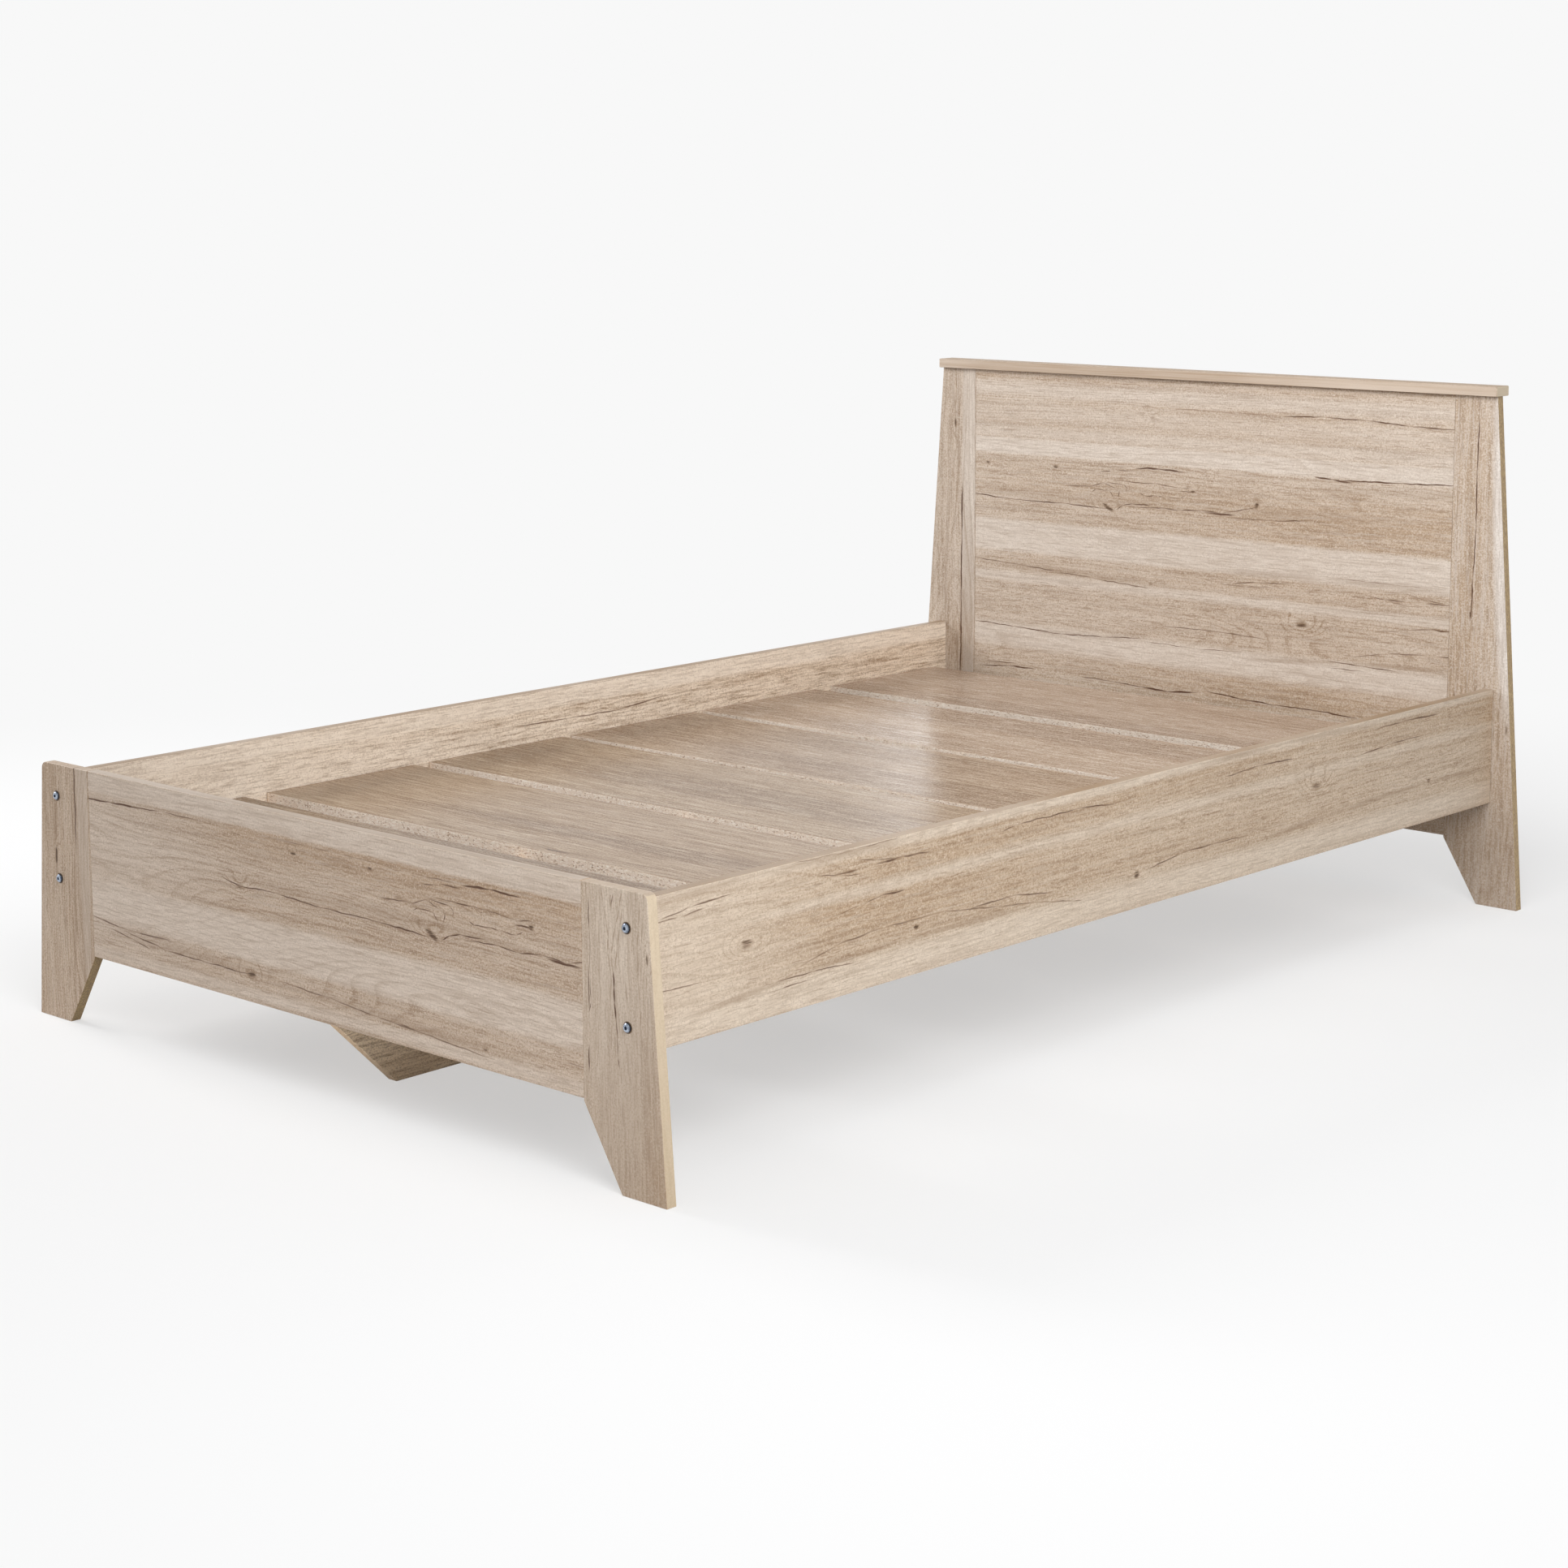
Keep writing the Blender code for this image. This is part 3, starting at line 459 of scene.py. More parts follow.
POST_MARKS: list[Mark] = [
    # Footboard left post
    *spots(KNOT, (
        (238, -574.5, 12, 3, 0.8),
    )),
    *trails(STREAK, (
        (4, 0.55, (190, -574.5), (250, -574.5), (330, -571)), (24, 0.4, (-200, -511), (600, -511)),
        (2, 0.75, (100, -535), (250, -532.5), (360, -534)),
    )),
    # Footboard right post
    *trails(CRACK, (
        (0.9, 0.7, (310, 505.5), (345, 505)), (1.0, 0.7, (220, 504), (270, 504)),
        (1.1, 0.75, (140, 502.5), (170, 503)),
        (1.3, 0.9, (267.5, 545), (248.1, 545.8), (231, 547.2), (211.5, 548.2)),
        (0.7, 0.6, (211.5, 548.2), (188, 550.6), (166.5, 551.3), (153.5, 553.3)),
        (0.7, 0.6, (311.3, 506.3), (254.5, 506.8), (223.6, 506.5), (212, 504.2)),
    )),
    *trails(STREAK, (
        (1.1, 0.75, (364.1, 560.6), (345.4, 556.5), (324.9, 550.1), (302.4, 544.8), (288.8, 542.1),
         (265.1, 543.8)), (1.1, 0.75, (344.2, 561.1), (321.5, 556.3), (297.1, 553), (270.3, 547.5)),
        (1.1, 0.75, (365.6, 527.3), (345.6, 530.3), (324.6, 534.8), (307.8, 537.5), (290, 536.6),
         (264.6, 540.7), (229.9, 541.6), (197.9, 544.5), (159.5, 549.7)),
        (1.5, 0.7, (360.1, 589.1), (324.8, 587.5), (302.6, 585.7), (260, 586.6), (234, 588.2),
         (204.1, 590.6), (174.4, 591.7)), (2.6, 0.6, (358.3, 542), (339.3, 542.5)),
        (1.0, 0.5, (306.8, 519.7), (249.2, 520.6), (200.5, 517.4), (133.7, 521)),
        (1.0, 0.5, (305, 565.9), (266.5, 564.2), (209.9, 567.8), (142.6, 566), (85.6, 568.2)),
        (1.0, 0.5, (139.4, 549.7), (77.1, 550.5)), (1.0, 0.5, (140.1, 529.3), (77.9, 531.5)),
        (1.0, 0.5, (335.6, 578.2), (287.5, 575.2), (230.5, 576.1), (164.4, 579.6)),
    )),
    *trails(CRACK, (
        (0.8, 0.5, (345, 542.5), (360, 547)),
    )),
    *spots(KNOT, (
        (291.2, 601.5, 9, 2.2, 0.7),
    )),
    *trails(STREAK, (
        (4, 0.6, (30, 600), (100, 601.5), (170, 600)), (3, 0.4, (50, 572), (150, 574), (330, 571)),
    )),
    # Headboard left post, with a lighter strip beside the panel
    *spots(LIGHT, (
        (600, -508, 600, 16, 2.0),
    )),
    *trails(CRACK, (
        (1.5, 1.0, (260, -525.8), (400, -524.5), (520, -523.5), (610, -522.6)),
    )),
    *trails(STREAK, (
        (1.2, 0.8, (600, -531.5), (720, -532.2), (840, -532.2)),
    )),
    *spots(KNOT, (
        (722.7, -539.8, 8, 2.5, 0.7),
    )),
    *trails(STREAK, (
        (3, 0.5, (680, -538), (780, -541)), (2.4, 0.5, (360, -562), (500, -562.5)),
    )),
    # Headboard right post, with a whitish zone beside its outer edge that is painted light, and a brown zone at
    # its foot that is the rail's painted shadow
    *spots(LIGHT, (
        (600, 589, 360, 27, 0.5, -0.045),
    )),
    # Painted shadow: the rail's end shades the lower part of the post
    *spots(STREAK, (
        (60, 575, 240, 110, 0.42),
    )),
    *trails(CRACK, (
        (1.1, 0.9, (790, 536.8), (700, 535.2), (620, 536.2), (530, 533.5), (470, 532)),
    )),
    *spots(KNOT, (
        (470.2, 531.4, 8, 2.5, 0.8),
    )),
    *trails(CRACK, (
        (0.8, 0.5, (820, 537.5), (790, 536.5)),
    )),
    *trails(STREAK, (
        (1.2, 0.8, (600, 500.5), (700, 501.5), (840, 501)),
    )),
]
SLAT_MARKS: list[Mark] = [
    *trails(CRACK, (
        (2.2, 0.8, (30, -604.3), (75, -603)),
    )),
    *trails(STREAK, (
        (6, 0.5, (-30, -601), (120, -603)),
    )),
    *trails(CRACK, (
        (1.5, 0.5, (-330, 660), (-270, 661)),
    )),
]


class Grain(Enum):
    """The direction of a board's grain: the letters say what runs along, across and through the sheet."""

    PANEL = "XZY"
    POST = "ZXY"
    RAIL = "YZX"
    SLAT = "XYZ"

    @property
    def order(self) -> tuple[int, int, int]:
        """The object's direction that runs along, across and through the sheet."""
        return tuple("XYZ".index(letter) for letter in self.value)


@dataclass(frozen=True)
class Lay:
    """How a board lies on the printed sheet that it was cut from."""

    grain: Grain
    along: float = 0.0
    across: float = 0.0
    depth: float = 0.0
    back_along: float = 3.7
    back_across: float = 1.3

    def coordinates(self, wires: Wires) -> Socket:
        """Give the place on the sheet, with another part of it on the board's back.

        Args:
            wires: The material's nodes.

        Returns:
            A vector: metres along the grain, across it and through the board.
        """
        split = wires.node("ShaderNodeSeparateXYZ", {0: wires.place()})
        turned = wires.node("ShaderNodeCombineXYZ",
                            {n: split.outputs[axis] for n, axis in enumerate(self.grain.order)})
        test, limit = "LESS_THAN", -BACK_SHARE
        if self.grain in (Grain.PANEL, Grain.POST):
            test, limit = "GREATER_THAN", BACK_SHARE
        on_back = wires.maths(test, wires.part(wires.place("Normal"), self.grain.order[2]), limit)
        moved = wires.vectors("ADD", turned.outputs[0], (self.along, self.across, self.depth))
        back = wires.node("ShaderNodeCombineXYZ", {0: on_back, 1: on_back, 2: 0.0}).outputs[0]
        shift = (self.back_along, self.back_across, 0.0)
        return wires.vectors("MULTIPLY_ADD", back, shift, moved)

    def turned_to(self, wires: Wires, direction: int, limit: float) -> Socket:
        """Give 1 where the surface faces one of the sheet's directions, either way, and 0 elsewhere."""
        part = wires.part(wires.place("Normal"), self.grain.order[direction])
        return wires.maths("GREATER_THAN", wires.maths("ABSOLUTE", part), limit)

    def facing(self, wires: Wires) -> Socket:
        """Give 1 on the board's two broad faces and 0 on its edges."""
        return self.turned_to(wires, 2, FACE_SHARE)

    def ends(self, wires: Wires) -> Socket:
        """Give 1 on the board's two ends, which face along the grain, and 0 elsewhere."""
        return self.turned_to(wires, 0, END_SHARE)

    def window(self, box: tuple[Vector, Vector]) -> tuple[tuple[float, float], tuple[float, float]]:
        """Give the low and high corner of the part of the sheet that a board's front shows."""
        along, across, _ = self.grain.order
        low = (box[0][along] + self.along, box[0][across] + self.across)
        high = (box[1][along] + self.along, box[1][across] + self.across)
        return low, high


def chipboard_colour(wires: Wires, place: Socket, pale: Tone, middle: Tone,
                     dark: Tone) -> tuple[Socket, Socket]:
    """Make the look of a sawn chipboard edge: pressed chips with dark gaps between them.

    Args:
        wires: The material's nodes.
        place: The place in metres.
        pale: The tone of the lightest chips.
        middle: The tone of most chips.
        dark: The tone of the gaps and bark flecks.

    Returns:
        The colour and the height of the surface.
    """
    stretched = wires.scaled(place, (1.0, 1.9, 1.9))
    chips = wires.node("ShaderNodeTexVoronoi", {"Vector": stretched, "Scale": 380.0, "Randomness": 1.0})
    split = wires.node("ShaderNodeSeparateColor", {0: chips.outputs["Color"]})
    tone = wires.ramp(split.outputs[0], (0.0, dark), (0.16, middle), (0.5, middle), (0.9, pale))
    flecks = wires.noise(stretched, 420.0, 3.0, 0.7)
    colour = wires.stained(tone, dark, flecks, 0.62, 0.74, 0.6)
    soft = wires.noise(place, 60.0, 2.0)
    colour = wires.stained(colour, middle, soft, 0.35, 0.7, 0.35)
    height = wires.maths("SUBTRACT", split.outputs[1], wires.spread(flecks, 0.5, 0.7))
    return colour, height


# The pale, middle and dark tone of the slat boards' bare chips, and of the posts' golden edges
RAW_CHIPS = (Tone.CHIP_PALE, Tone.CHIP_MID, Tone.CHIP_DARK)
GOLD_CHIPS = (Tone.CHIP_GOLD, Tone.EDGE_GOLD, Tone.OAK_BROWN)


class EdgeKind(Enum):
    """How a board's narrow edges are finished."""

    TAPE = "tape"
    CREAM = "cream"
    GOLD = "gold"
    RAW = "raw"


@dataclass(frozen=True)
class OakDecor:
    """Printed oak decor on one board: planks, growth rings, pores, knots and cracks."""

    lay: Lay
    edge: EdgeKind = EdgeKind.TAPE
    light: Tone = Tone.OAK_LIGHT
    mid: Tone = Tone.OAK_MID
    tan: Tone = Tone.OAK_TAN
    # A board's tint multiplies its colour; on the slat boards, the centre support, the left rail and the
    # headboard's right post it is painted light and painted shade
    tint: Triple = NO_TINT
    roughness: float = 0.55
    specular: float = 0.5
    # How much a golden edge is darkened, as painted shade
    edge_painted_shade: Triple = NO_TINT
    rings: float = 1.0
    planks: float = 1.0
    marks: tuple[Mark, ...] = ()

    def depth(self, wires: Wires, sheet: Socket, mark: Mark, strength: float) -> Socket:
        """Give how deep a place lies in a mark: minus its strength in the middle, and 0 on its outline.

        Two lengths are measured from the middle, along the ellipse and across it, each as a share of its
        half size. The sum of their squares times the strength, less the strength, is the depth. Only sums
        and products are used, because the renderer keeps the values of other nodes until all marks are done.

        Args:
            wires: The material's nodes.
            sheet: The place on the sheet.
            mark: The ellipse.
            strength: How strong the mark is in its middle.

        Returns:
            The depth's socket.
        """
        cosine, sine = math.cos(mark.tilt), math.sin(mark.tilt)
        turn = np.array([[cosine, sine], [-sine, cosine]])
        ways = math.sqrt(strength) * turn / np.array([[mark.half_length], [mark.half_width]])
        middle = wires.vectors("SUBTRACT", sheet, (mark.along, mark.across, 0.0))
        total: object = -strength
        for way in ways:
            length = wires.vectors("DOT_PRODUCT", middle, (float(way[0]), float(way[1]), 0.0))
            total = wires.maths("MULTIPLY_ADD", length, length, total)
        return total

    def bent(self, wires: Wires, plain: Socket, noise: Socket, reach: Triple) -> Socket:
        """Move each place of the sheet by a noise, as far as reach says."""
        swing = wires.vectors("SUBTRACT", noise, (0.5, 0.5, 0.5))
        return wires.vectors("MULTIPLY_ADD", swing, reach, plain)

    def depths(self, wires: Wires, place: Socket, shown: list[Mark]) -> dict[MarkKind, Socket]:
        """Give the depth in the deepest mark of each kind.

        Args:
            wires: The material's nodes.
            place: The place on the sheet.
            shown: The marks that the board shows.

        Returns:
            A socket for each kind that is there.
        """
        deepest: dict[MarkKind, Socket] = {}
        for mark in sorted(shown, key=lambda one: one.kind.value):
            longer, wider = GROWTH.get(mark.kind, (1.0, 1.0))
            grown = replace(mark, half_length=mark.half_length * longer, half_width=mark.half_width * wider)
            below = self.depth(wires, place, grown, mark.strength)
            deepest[mark.kind] = wires.maths("MINIMUM", deepest.get(mark.kind, 0.0), below)
        return deepest

    def swell(self, wires: Wires, sheet: Socket, shown: list[Mark]) -> object:
        """Add up the hills that knots raise in the growth rings, each the square of a wide mark's depth."""
        total: object = 0.0
        for mark in shown:
            if mark.kind is KNOT:
                wide = replace(mark, half_length=mark.half_length * HILL_LENGTH,
                               half_width=mark.half_width * HILL_WIDTH, tilt=0.0)
                rise = wires.maths("MINIMUM", self.depth(wires, sheet, wide, 1.0), 0.0)
                steep = wires.times(rise, HILL_RISE * mark.half_length)
                total = wires.maths("ADD", total, wires.times(rise, steep))
        return total

    def ground(self, wires: Wires, plain: Socket, sheet: Socket, pale: Socket, swell: object) -> Socket:
        """Colour the planks and their growth rings.

        The rings are contour lines of a noise that is stretched along the grain. Each knot raises that
        noise, so that the lines bend round it.

        Args:
            wires: The material's nodes.
            plain: The place on the sheet.
            sheet: The same place, gently swayed.
            pale: How much the place lies in a light band.
            swell: How high the knots raise the rings there.

        Returns:
            The colour.
        """
        planks = wires.woven(sheet, Weave.PLANKS)
        half = PLANK_SPREAD / self.planks
        colour = wires.ramp(wires.spread(planks, 0.5 - half, 0.5 + half),
                            (0.0, self.tan), (0.45, self.mid), (1.0, self.light))
        colour = wires.mix(wires.times(pale, PALE_UNDER), colour, Tone.OAK_PALE.colour)
        height = wires.woven(sheet, Weave.RINGS)
        phase = wires.times(wires.part(sheet, 1), RINGS_A_METRE)
        phase = wires.maths("MULTIPLY_ADD", height, RING_CONTOURS, phase)
        ring = wires.maths("FRACT", wires.maths("ADD", phase, swell))
        rise, fall = wires.spread(ring, 0.62, 0.94, smooth=True), wires.spread(ring, 1.0, 0.95)
        zone = wires.woven(plain, Weave.ZONES)
        strong = wires.spread(zone, 0.36, 0.64, 0.12, 0.62 * self.rings)
        strong = wires.maths("MULTIPLY_ADD", wires.maths("MINIMUM", swell, 1.0), 0.4, strong)
        share = wires.times(wires.times(rise, fall), strong)
        return wires.mix(share, colour, Tone.OAK_RING.colour)

    def inked(self, wires: Wires, colour: Socket, deepest: dict[MarkKind, Socket], fibres: Socket,
              speck: Socket, broken: Socket) -> Socket:
        """Draw the streaks, knots and cracks, whose outlines are frayed by the fibres and specks.

        Args:
            wires: The material's nodes.
            colour: The colour without them.
            deepest: The depth in the marks of each kind.
            fibres: The noise of the fibres.
            speck: The noise of the specks.
            broken: How far a crack fades at the place.

        Returns:
            The colour with the marks.
        """
        if STREAK in deepest:
            share = wires.times(deepest[STREAK], -1.0)
            share = wires.times(share, wires.spread(fibres, 0.35, 0.6, 0.6, 1.0))
            colour = wires.mix(share, colour, Tone.OAK_BROWN.colour)
        if KNOT in deepest:
            share = wires.times(deepest[KNOT], -1.0)
            frayed = wires.maths("MULTIPLY_ADD", wires.spread(fibres, 0.35, 0.65), -0.8, share)
            colour = wires.stained(colour, Tone.OAK_BROWN, frayed, -0.75, 0.25, 0.7)
            colour = wires.stained(colour, Tone.KNOT, frayed, 0.1, 0.45, 0.92)
        if CRACK in deepest:
            share = wires.times(deepest[CRACK], -1.0)
            frayed = wires.maths("MULTIPLY_ADD", wires.spread(speck, 0.3, 0.7), -0.22, share)
            frayed = wires.maths("MULTIPLY_ADD", broken, -0.18, frayed)
            colour = wires.stained(colour, Tone.OAK_BROWN, frayed, -0.15, 0.2, 0.45)
            colour = wires.stained(colour, Tone.CRACK, frayed, 0.0, 0.5, 0.96)
        return colour

    def material(self, name: str, box: tuple[Vector, Vector]) -> bpy.types.Material:
        """Make the board's material: planks and rings, then fine grain and pores, then marks and edges.

        Args:
            name: The material's name.
            box: The board's low and high corner, which say what marks it shows.

        Returns:
            The new material.
        """
        wires = Wires(bpy.data.materials.new(name))
        plain = self.lay.coordinates(wires)
        sheet = self.bent(wires, plain, wires.woven(plain, Weave.SWAY, "Color"), SWAY_REACH)
        shiver = wires.woven(plain, Weave.SHIVER, "Color")
        bent = self.bent(wires, plain, shiver, SHIVER_REACH)
        low, high = self.lay.window(box)
        shown = [mark for mark in self.marks if mark.touches(low, high)]
        swell = self.swell(wires, sheet, shown)
        deepest = self.depths(wires, bent, shown)
        lightest = wires.times(deepest.get(LIGHT, 0.0), -1.0)
        pale = wires.spread(lightest, 0.0, 0.42, smooth=True)
        colour = self.ground(wires, plain, sheet, pale, swell)

        streaks = wires.woven(sheet, Weave.STREAKS)
        fibres = wires.woven(bent, Weave.FIBRES)
        pores = wires.woven(bent, Weave.PORES)
        speck = wires.noise(plain, 360.0, 3.0, 0.75)
        for layer, (dark_share, pale_share) in zip((streaks, fibres, speck), GRAIN_SHARES):
            colour = wires.stained(colour, Tone.OAK_BROWN, layer, 0.5, 0.74, dark_share)
            colour = wires.stained(colour, Tone.OAK_PALE, layer, 0.5, 0.26, pale_share)
        colour = wires.stained(colour, Tone.OAK_BROWN, pores, 0.57, 0.68, 0.6)
        colour = wires.mix(wires.times(pale, PALE_OVER), colour, Tone.OAK_WHITE.colour)
        broken = wires.spread(wires.part(shiver, 0), 0.4, 0.6)
        colour = self.inked(wires, colour, deepest, fibres, speck, broken)

        height = wires.times(streaks, 0.5)
        height = wires.maths("SUBTRACT", wires.times(pores, -0.6), height)
        rough = wires.spread(streaks, 0.3, 0.75, self.roughness - 0.06, self.roughness + 0.08)
        colour, height = self.edged(wires, plain, colour, height)
        return wires.surface(Base_Color=wires.tinted(colour, self.tint), Roughness=rough,
                             Specular_IOR_Level=self.specular, Normal=wires.bump(height, BUMP_DEPTH, 0.6))

    def edged(self, wires: Wires, plain: Socket, colour: Socket, height: Socket) -> tuple[Socket, Socket]:
        """Finish the board's narrow edges.

        Args:
            wires: The material's nodes.
            plain: The place on the sheet.
            colour: The faces' colour.
            height: The faces' height.

        Returns:
            The colour and height with the edges put in.
        """
        face = self.lay.facing(wires)
        if self.edge is EdgeKind.RAW:
            edge, edge_height = chipboard_colour(wires, plain, *RAW_CHIPS)
            edge_height = wires.times(edge_height, 1.6)
        elif self.edge is EdgeKind.GOLD:
            edge, edge_height = chipboard_colour(wires, plain, *GOLD_CHIPS)
            edge = wires.tinted(edge, self.edge_painted_shade)
        else:
            tone = Tone.TAPE_CREAM if self.edge is EdgeKind.CREAM else Tone.OAK_TAN
            edge = wires.mix(TAPE_SHARE, colour, tone.colour)
            edge_height = height
        if self.edge in (EdgeKind.GOLD, EdgeKind.CREAM):
            ends = wires.mix(TAPE_SHARE, colour, Tone.CAP_TAPE.colour)
            edge = wires.mix(self.lay.ends(wires), edge, ends)
        heights = {0: face, 2: edge_height, 3: height}
        both = wires.node("ShaderNodeMix", heights, data_type="FLOAT").outputs[0]
        return wires.mix(face, edge, colour), both


@dataclass(frozen=True)
class RawChipboard:
    """A sawn chipboard edge without tape."""

    tint: Triple = NO_TINT

    def material(self, name: str) -> bpy.types.Material:
        """Make the material, whose chips lie along the board's edge."""
        wires = Wires(bpy.data.materials.new(name))
        colour, height = chipboard_colour(wires, wires.place(), *RAW_CHIPS)
        return wires.surface(Base_Color=wires.tinted(colour, self.tint), Roughness=0.85,
                             Normal=wires.bump(height, 0.5 * MILLIMETRE, 0.3))


@dataclass(frozen=True)
class EdgeTape:
    """Melamine edge tape: the decor's fine lines on a slightly glossier strip."""

    grain: Grain
    base: Tone = Tone.OAK_MID
    line: Tone = Tone.OAK_RING

    def material(self, name: str) -> bpy.types.Material:
        """Make the material, with lines that run the tape's length."""
        wires = Wires(bpy.data.materials.new(name))
        sheet = Lay(self.grain, back_along=0.0, back_across=0.0).coordinates(wires)
        streaks = wires.woven(sheet, Weave.TAPE_STREAKS)
        clouds = wires.woven(sheet, Weave.TAPE_CLOUDS)
        speck = wires.noise(sheet, 700.0, 2.0, 0.7)
        colour = wires.stained(self.base.colour, self.line, streaks, 0.42, 0.7, 0.6)
        colour = wires.stained(colour, Tone.OAK_PALE, clouds, 0.4, 0.7, 0.35)
        colour = wires.stained(colour, self.line, speck, 0.5, 0.75, 0.25)
        return wires.surface(Base_Color=colour, Roughness=0.46,
                             Normal=wires.bump(streaks, 0.08 * MILLIMETRE))


@dataclass(frozen=True)
class ZincPlate:
    """Bright zinc plate on steel, with cloudy patches, fine turning lines and a rim darkened as painted shade."""

    roughness: float = 0.24

    def material(self, name: str) -> bpy.types.Material:
        """Make the material, with painted shade on the rim, where the surface turns away from the screw's axis.
        """
        wires = Wires(bpy.data.materials.new(name))
        clouds = wires.noise(wires.place(), 240.0, 3.0, 0.6)
        scratches = wires.noise(wires.scaled(wires.place(), (900.0, 180.0, 2400.0)), 1.0, 2.0)
        colour = wires.stained(Tone.ZINC.colour, Tone.ZINC_DULL, clouds, 0.4, 0.68)
        along = wires.maths("ABSOLUTE", wires.part(wires.place("Normal"), 1))
        rim = wires.spread(along, 0.93, 0.45, 0.0, 0.85, smooth=True)
        # Painted shade on the sloping sides of the head
        colour = wires.mix(rim, colour, Tone.ZINC_PAINTED_SHADE.colour)
        rough = wires.spread(clouds, 0.3, 0.7, self.roughness - 0.05, self.roughness + 0.14)
        return wires.surface(Base_Color=colour, Metallic=1.0, Roughness=rough,
                             Normal=wires.bump(scratches, 0.03 * MILLIMETRE))


@dataclass(frozen=True)
class DieCast:
    """Plain die-cast zinc: grey, blotchy and a little rough."""

    def material(self, name: str) -> bpy.types.Material:
        """Make the material."""
        wires = Wires(bpy.data.materials.new(name))
        blotches = wires.noise(wires.place(), 330.0, 4.0, 0.65)
        pits = wires.noise(wires.place(), 2600.0, 2.0)
        colour = wires.stained(Tone.DIE_CAST.colour, Tone.ZINC_DULL, blotches, 0.38, 0.66)
        return wires.surface(Base_Color=colour, Metallic=0.9, Normal=wires.bump(pits, 0.05 * MILLIMETRE),
                             Roughness=wires.spread(blotches, 0.3, 0.7, 0.42, 0.58))


@dataclass(frozen=True)
class Beech:
    """Bare beech of the dowels, with short dark rays."""

    grain: Grain = Grain.SLAT

    def material(self, name: str) -> bpy.types.Material:
        """Make the material, with its grain along the dowel."""
        wires = Wires(bpy.data.materials.new(name))
        sheet = Lay(self.grain, back_along=0.0, back_across=0.0).coordinates(wires)
        streaks = wires.woven(sheet, Weave.BEECH_STREAKS)
        rays = wires.woven(sheet, Weave.BEECH_RAYS)
        colour = wires.stained(Tone.BEECH.colour, Tone.BEECH_DARK, streaks, 0.35, 0.7)
        colour = wires.stained(colour, Tone.OAK_BROWN, rays, 0.6, 0.75, 0.5)
        return wires.surface(Base_Color=colour, Roughness=0.7, Normal=wires.bump(streaks, 0.1 * MILLIMETRE))


@dataclass(frozen=True)
class SeatRingShade:
    """Decor that a screw head has pressed, painted dark brown as the shade round the head."""

    def material(self, name: str) -> bpy.types.Material:
        """Make the material."""
        wires = Wires(bpy.data.materials.new(name))
        crush = wires.noise(wires.place(), 900.0, 3.0, 0.65)
        colour = wires.stained(Tone.SEAT_PAINTED_SHADE.colour, Tone.OAK_BROWN, crush, 0.35, 0.7)
        return wires.surface(Base_Color=colour, Roughness=0.7, Normal=wires.bump(crush, 0.2 * MILLIMETRE))


def dress(node: str, material: bpy.types.Material) -> None:
    """Give every slot of a carried-over node the same material."""
    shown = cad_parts[node]
    if not shown.material_slots:
        shown.data.materials.append(material)
    for slot in shown.material_slots:
        slot.material = material


def dress_board(node: str, finish: OakDecor, name: str = "") -> None:
    """Give a board its decor, with the marks on the part of the sheet that it shows."""
    dress(node, finish.material(name or f"{node}_decor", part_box(node)))


def add_piece(name: str, points: np.ndarray, faces: np.ndarray, material: bpy.types.Material) -> bpy.types.Object:
    """Put a new piece into the scene, riding on the bed.

    Args:
        name: The piece's name.
        points: Its corners in metres, one row each.
        faces: Its four-sided faces, one row of corner numbers each.
        material: Its finish.

    Returns:
        The new object.
    """
    mesh = bpy.data.meshes.new(name)
    mesh.from_pydata(points.tolist(), [], faces.tolist())
    mesh.validate()
    mesh.update()
    piece = bpy.data.objects.new(name, mesh)
    bpy.context.scene.collection.objects.link(piece)
    mesh.materials.append(material)
    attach(piece, "root")
    return piece


def loft(sections: np.ndarray, closed_ends: bool = True) -> tuple[np.ndarray, np.ndarray]:
    """Join closed sections, one after another, into a tube whose faces point outwards.

    The points are a grid: the first count runs along the piece and the second round its section. Each
    face joins two neighbours along with two neighbours round. Closed ends are drawn together to one point.

    Args:
        sections: Points by section, by place round the section, by direction.
        closed_ends: Whether both ends are closed.

    Returns:
        The points and the four-sided faces.
    """
    if closed_ends:
        first = np.repeat(sections[:1].mean(axis=1, keepdims=True), sections.shape[1], axis=1)
        last = np.repeat(sections[-1:].mean(axis=1, keepdims=True), sections.shape[1], axis=1)
        sections = np.concatenate([first, sections, last])
    count, around = sections.shape[:2]
    ids = np.arange(count * around).reshape(count, around)
    after = np.roll(ids, -1, axis=1)
    faces = np.stack([ids[:-1], after[:-1], after[1:], ids[1:]], axis=-1).reshape(-1, 4)
    return sections.reshape(-1, 3), faces


def tidy_mesh(piece: bpy.types.Object) -> None:
    """Merge the doubled points of a piece and turn its faces outwards."""
    mesh = bmesh.new()
    mesh.from_mesh(piece.data)
    bmesh.ops.remove_doubles(mesh, verts=mesh.verts, dist=SAME_POINT)
    bmesh.ops.recalc_face_normals(mesh, faces=mesh.faces)
    mesh.to_mesh(piece.data)
    mesh.free()


@dataclass(frozen=True)
class TapeRun:
    """Which edge of a board a tape lies on: the axis it runs along, and the axis and way that it faces."""

    name: str
    node: str
    run: int
    facing: int
    way: int
    finish: bpy.types.Material
    slot: str


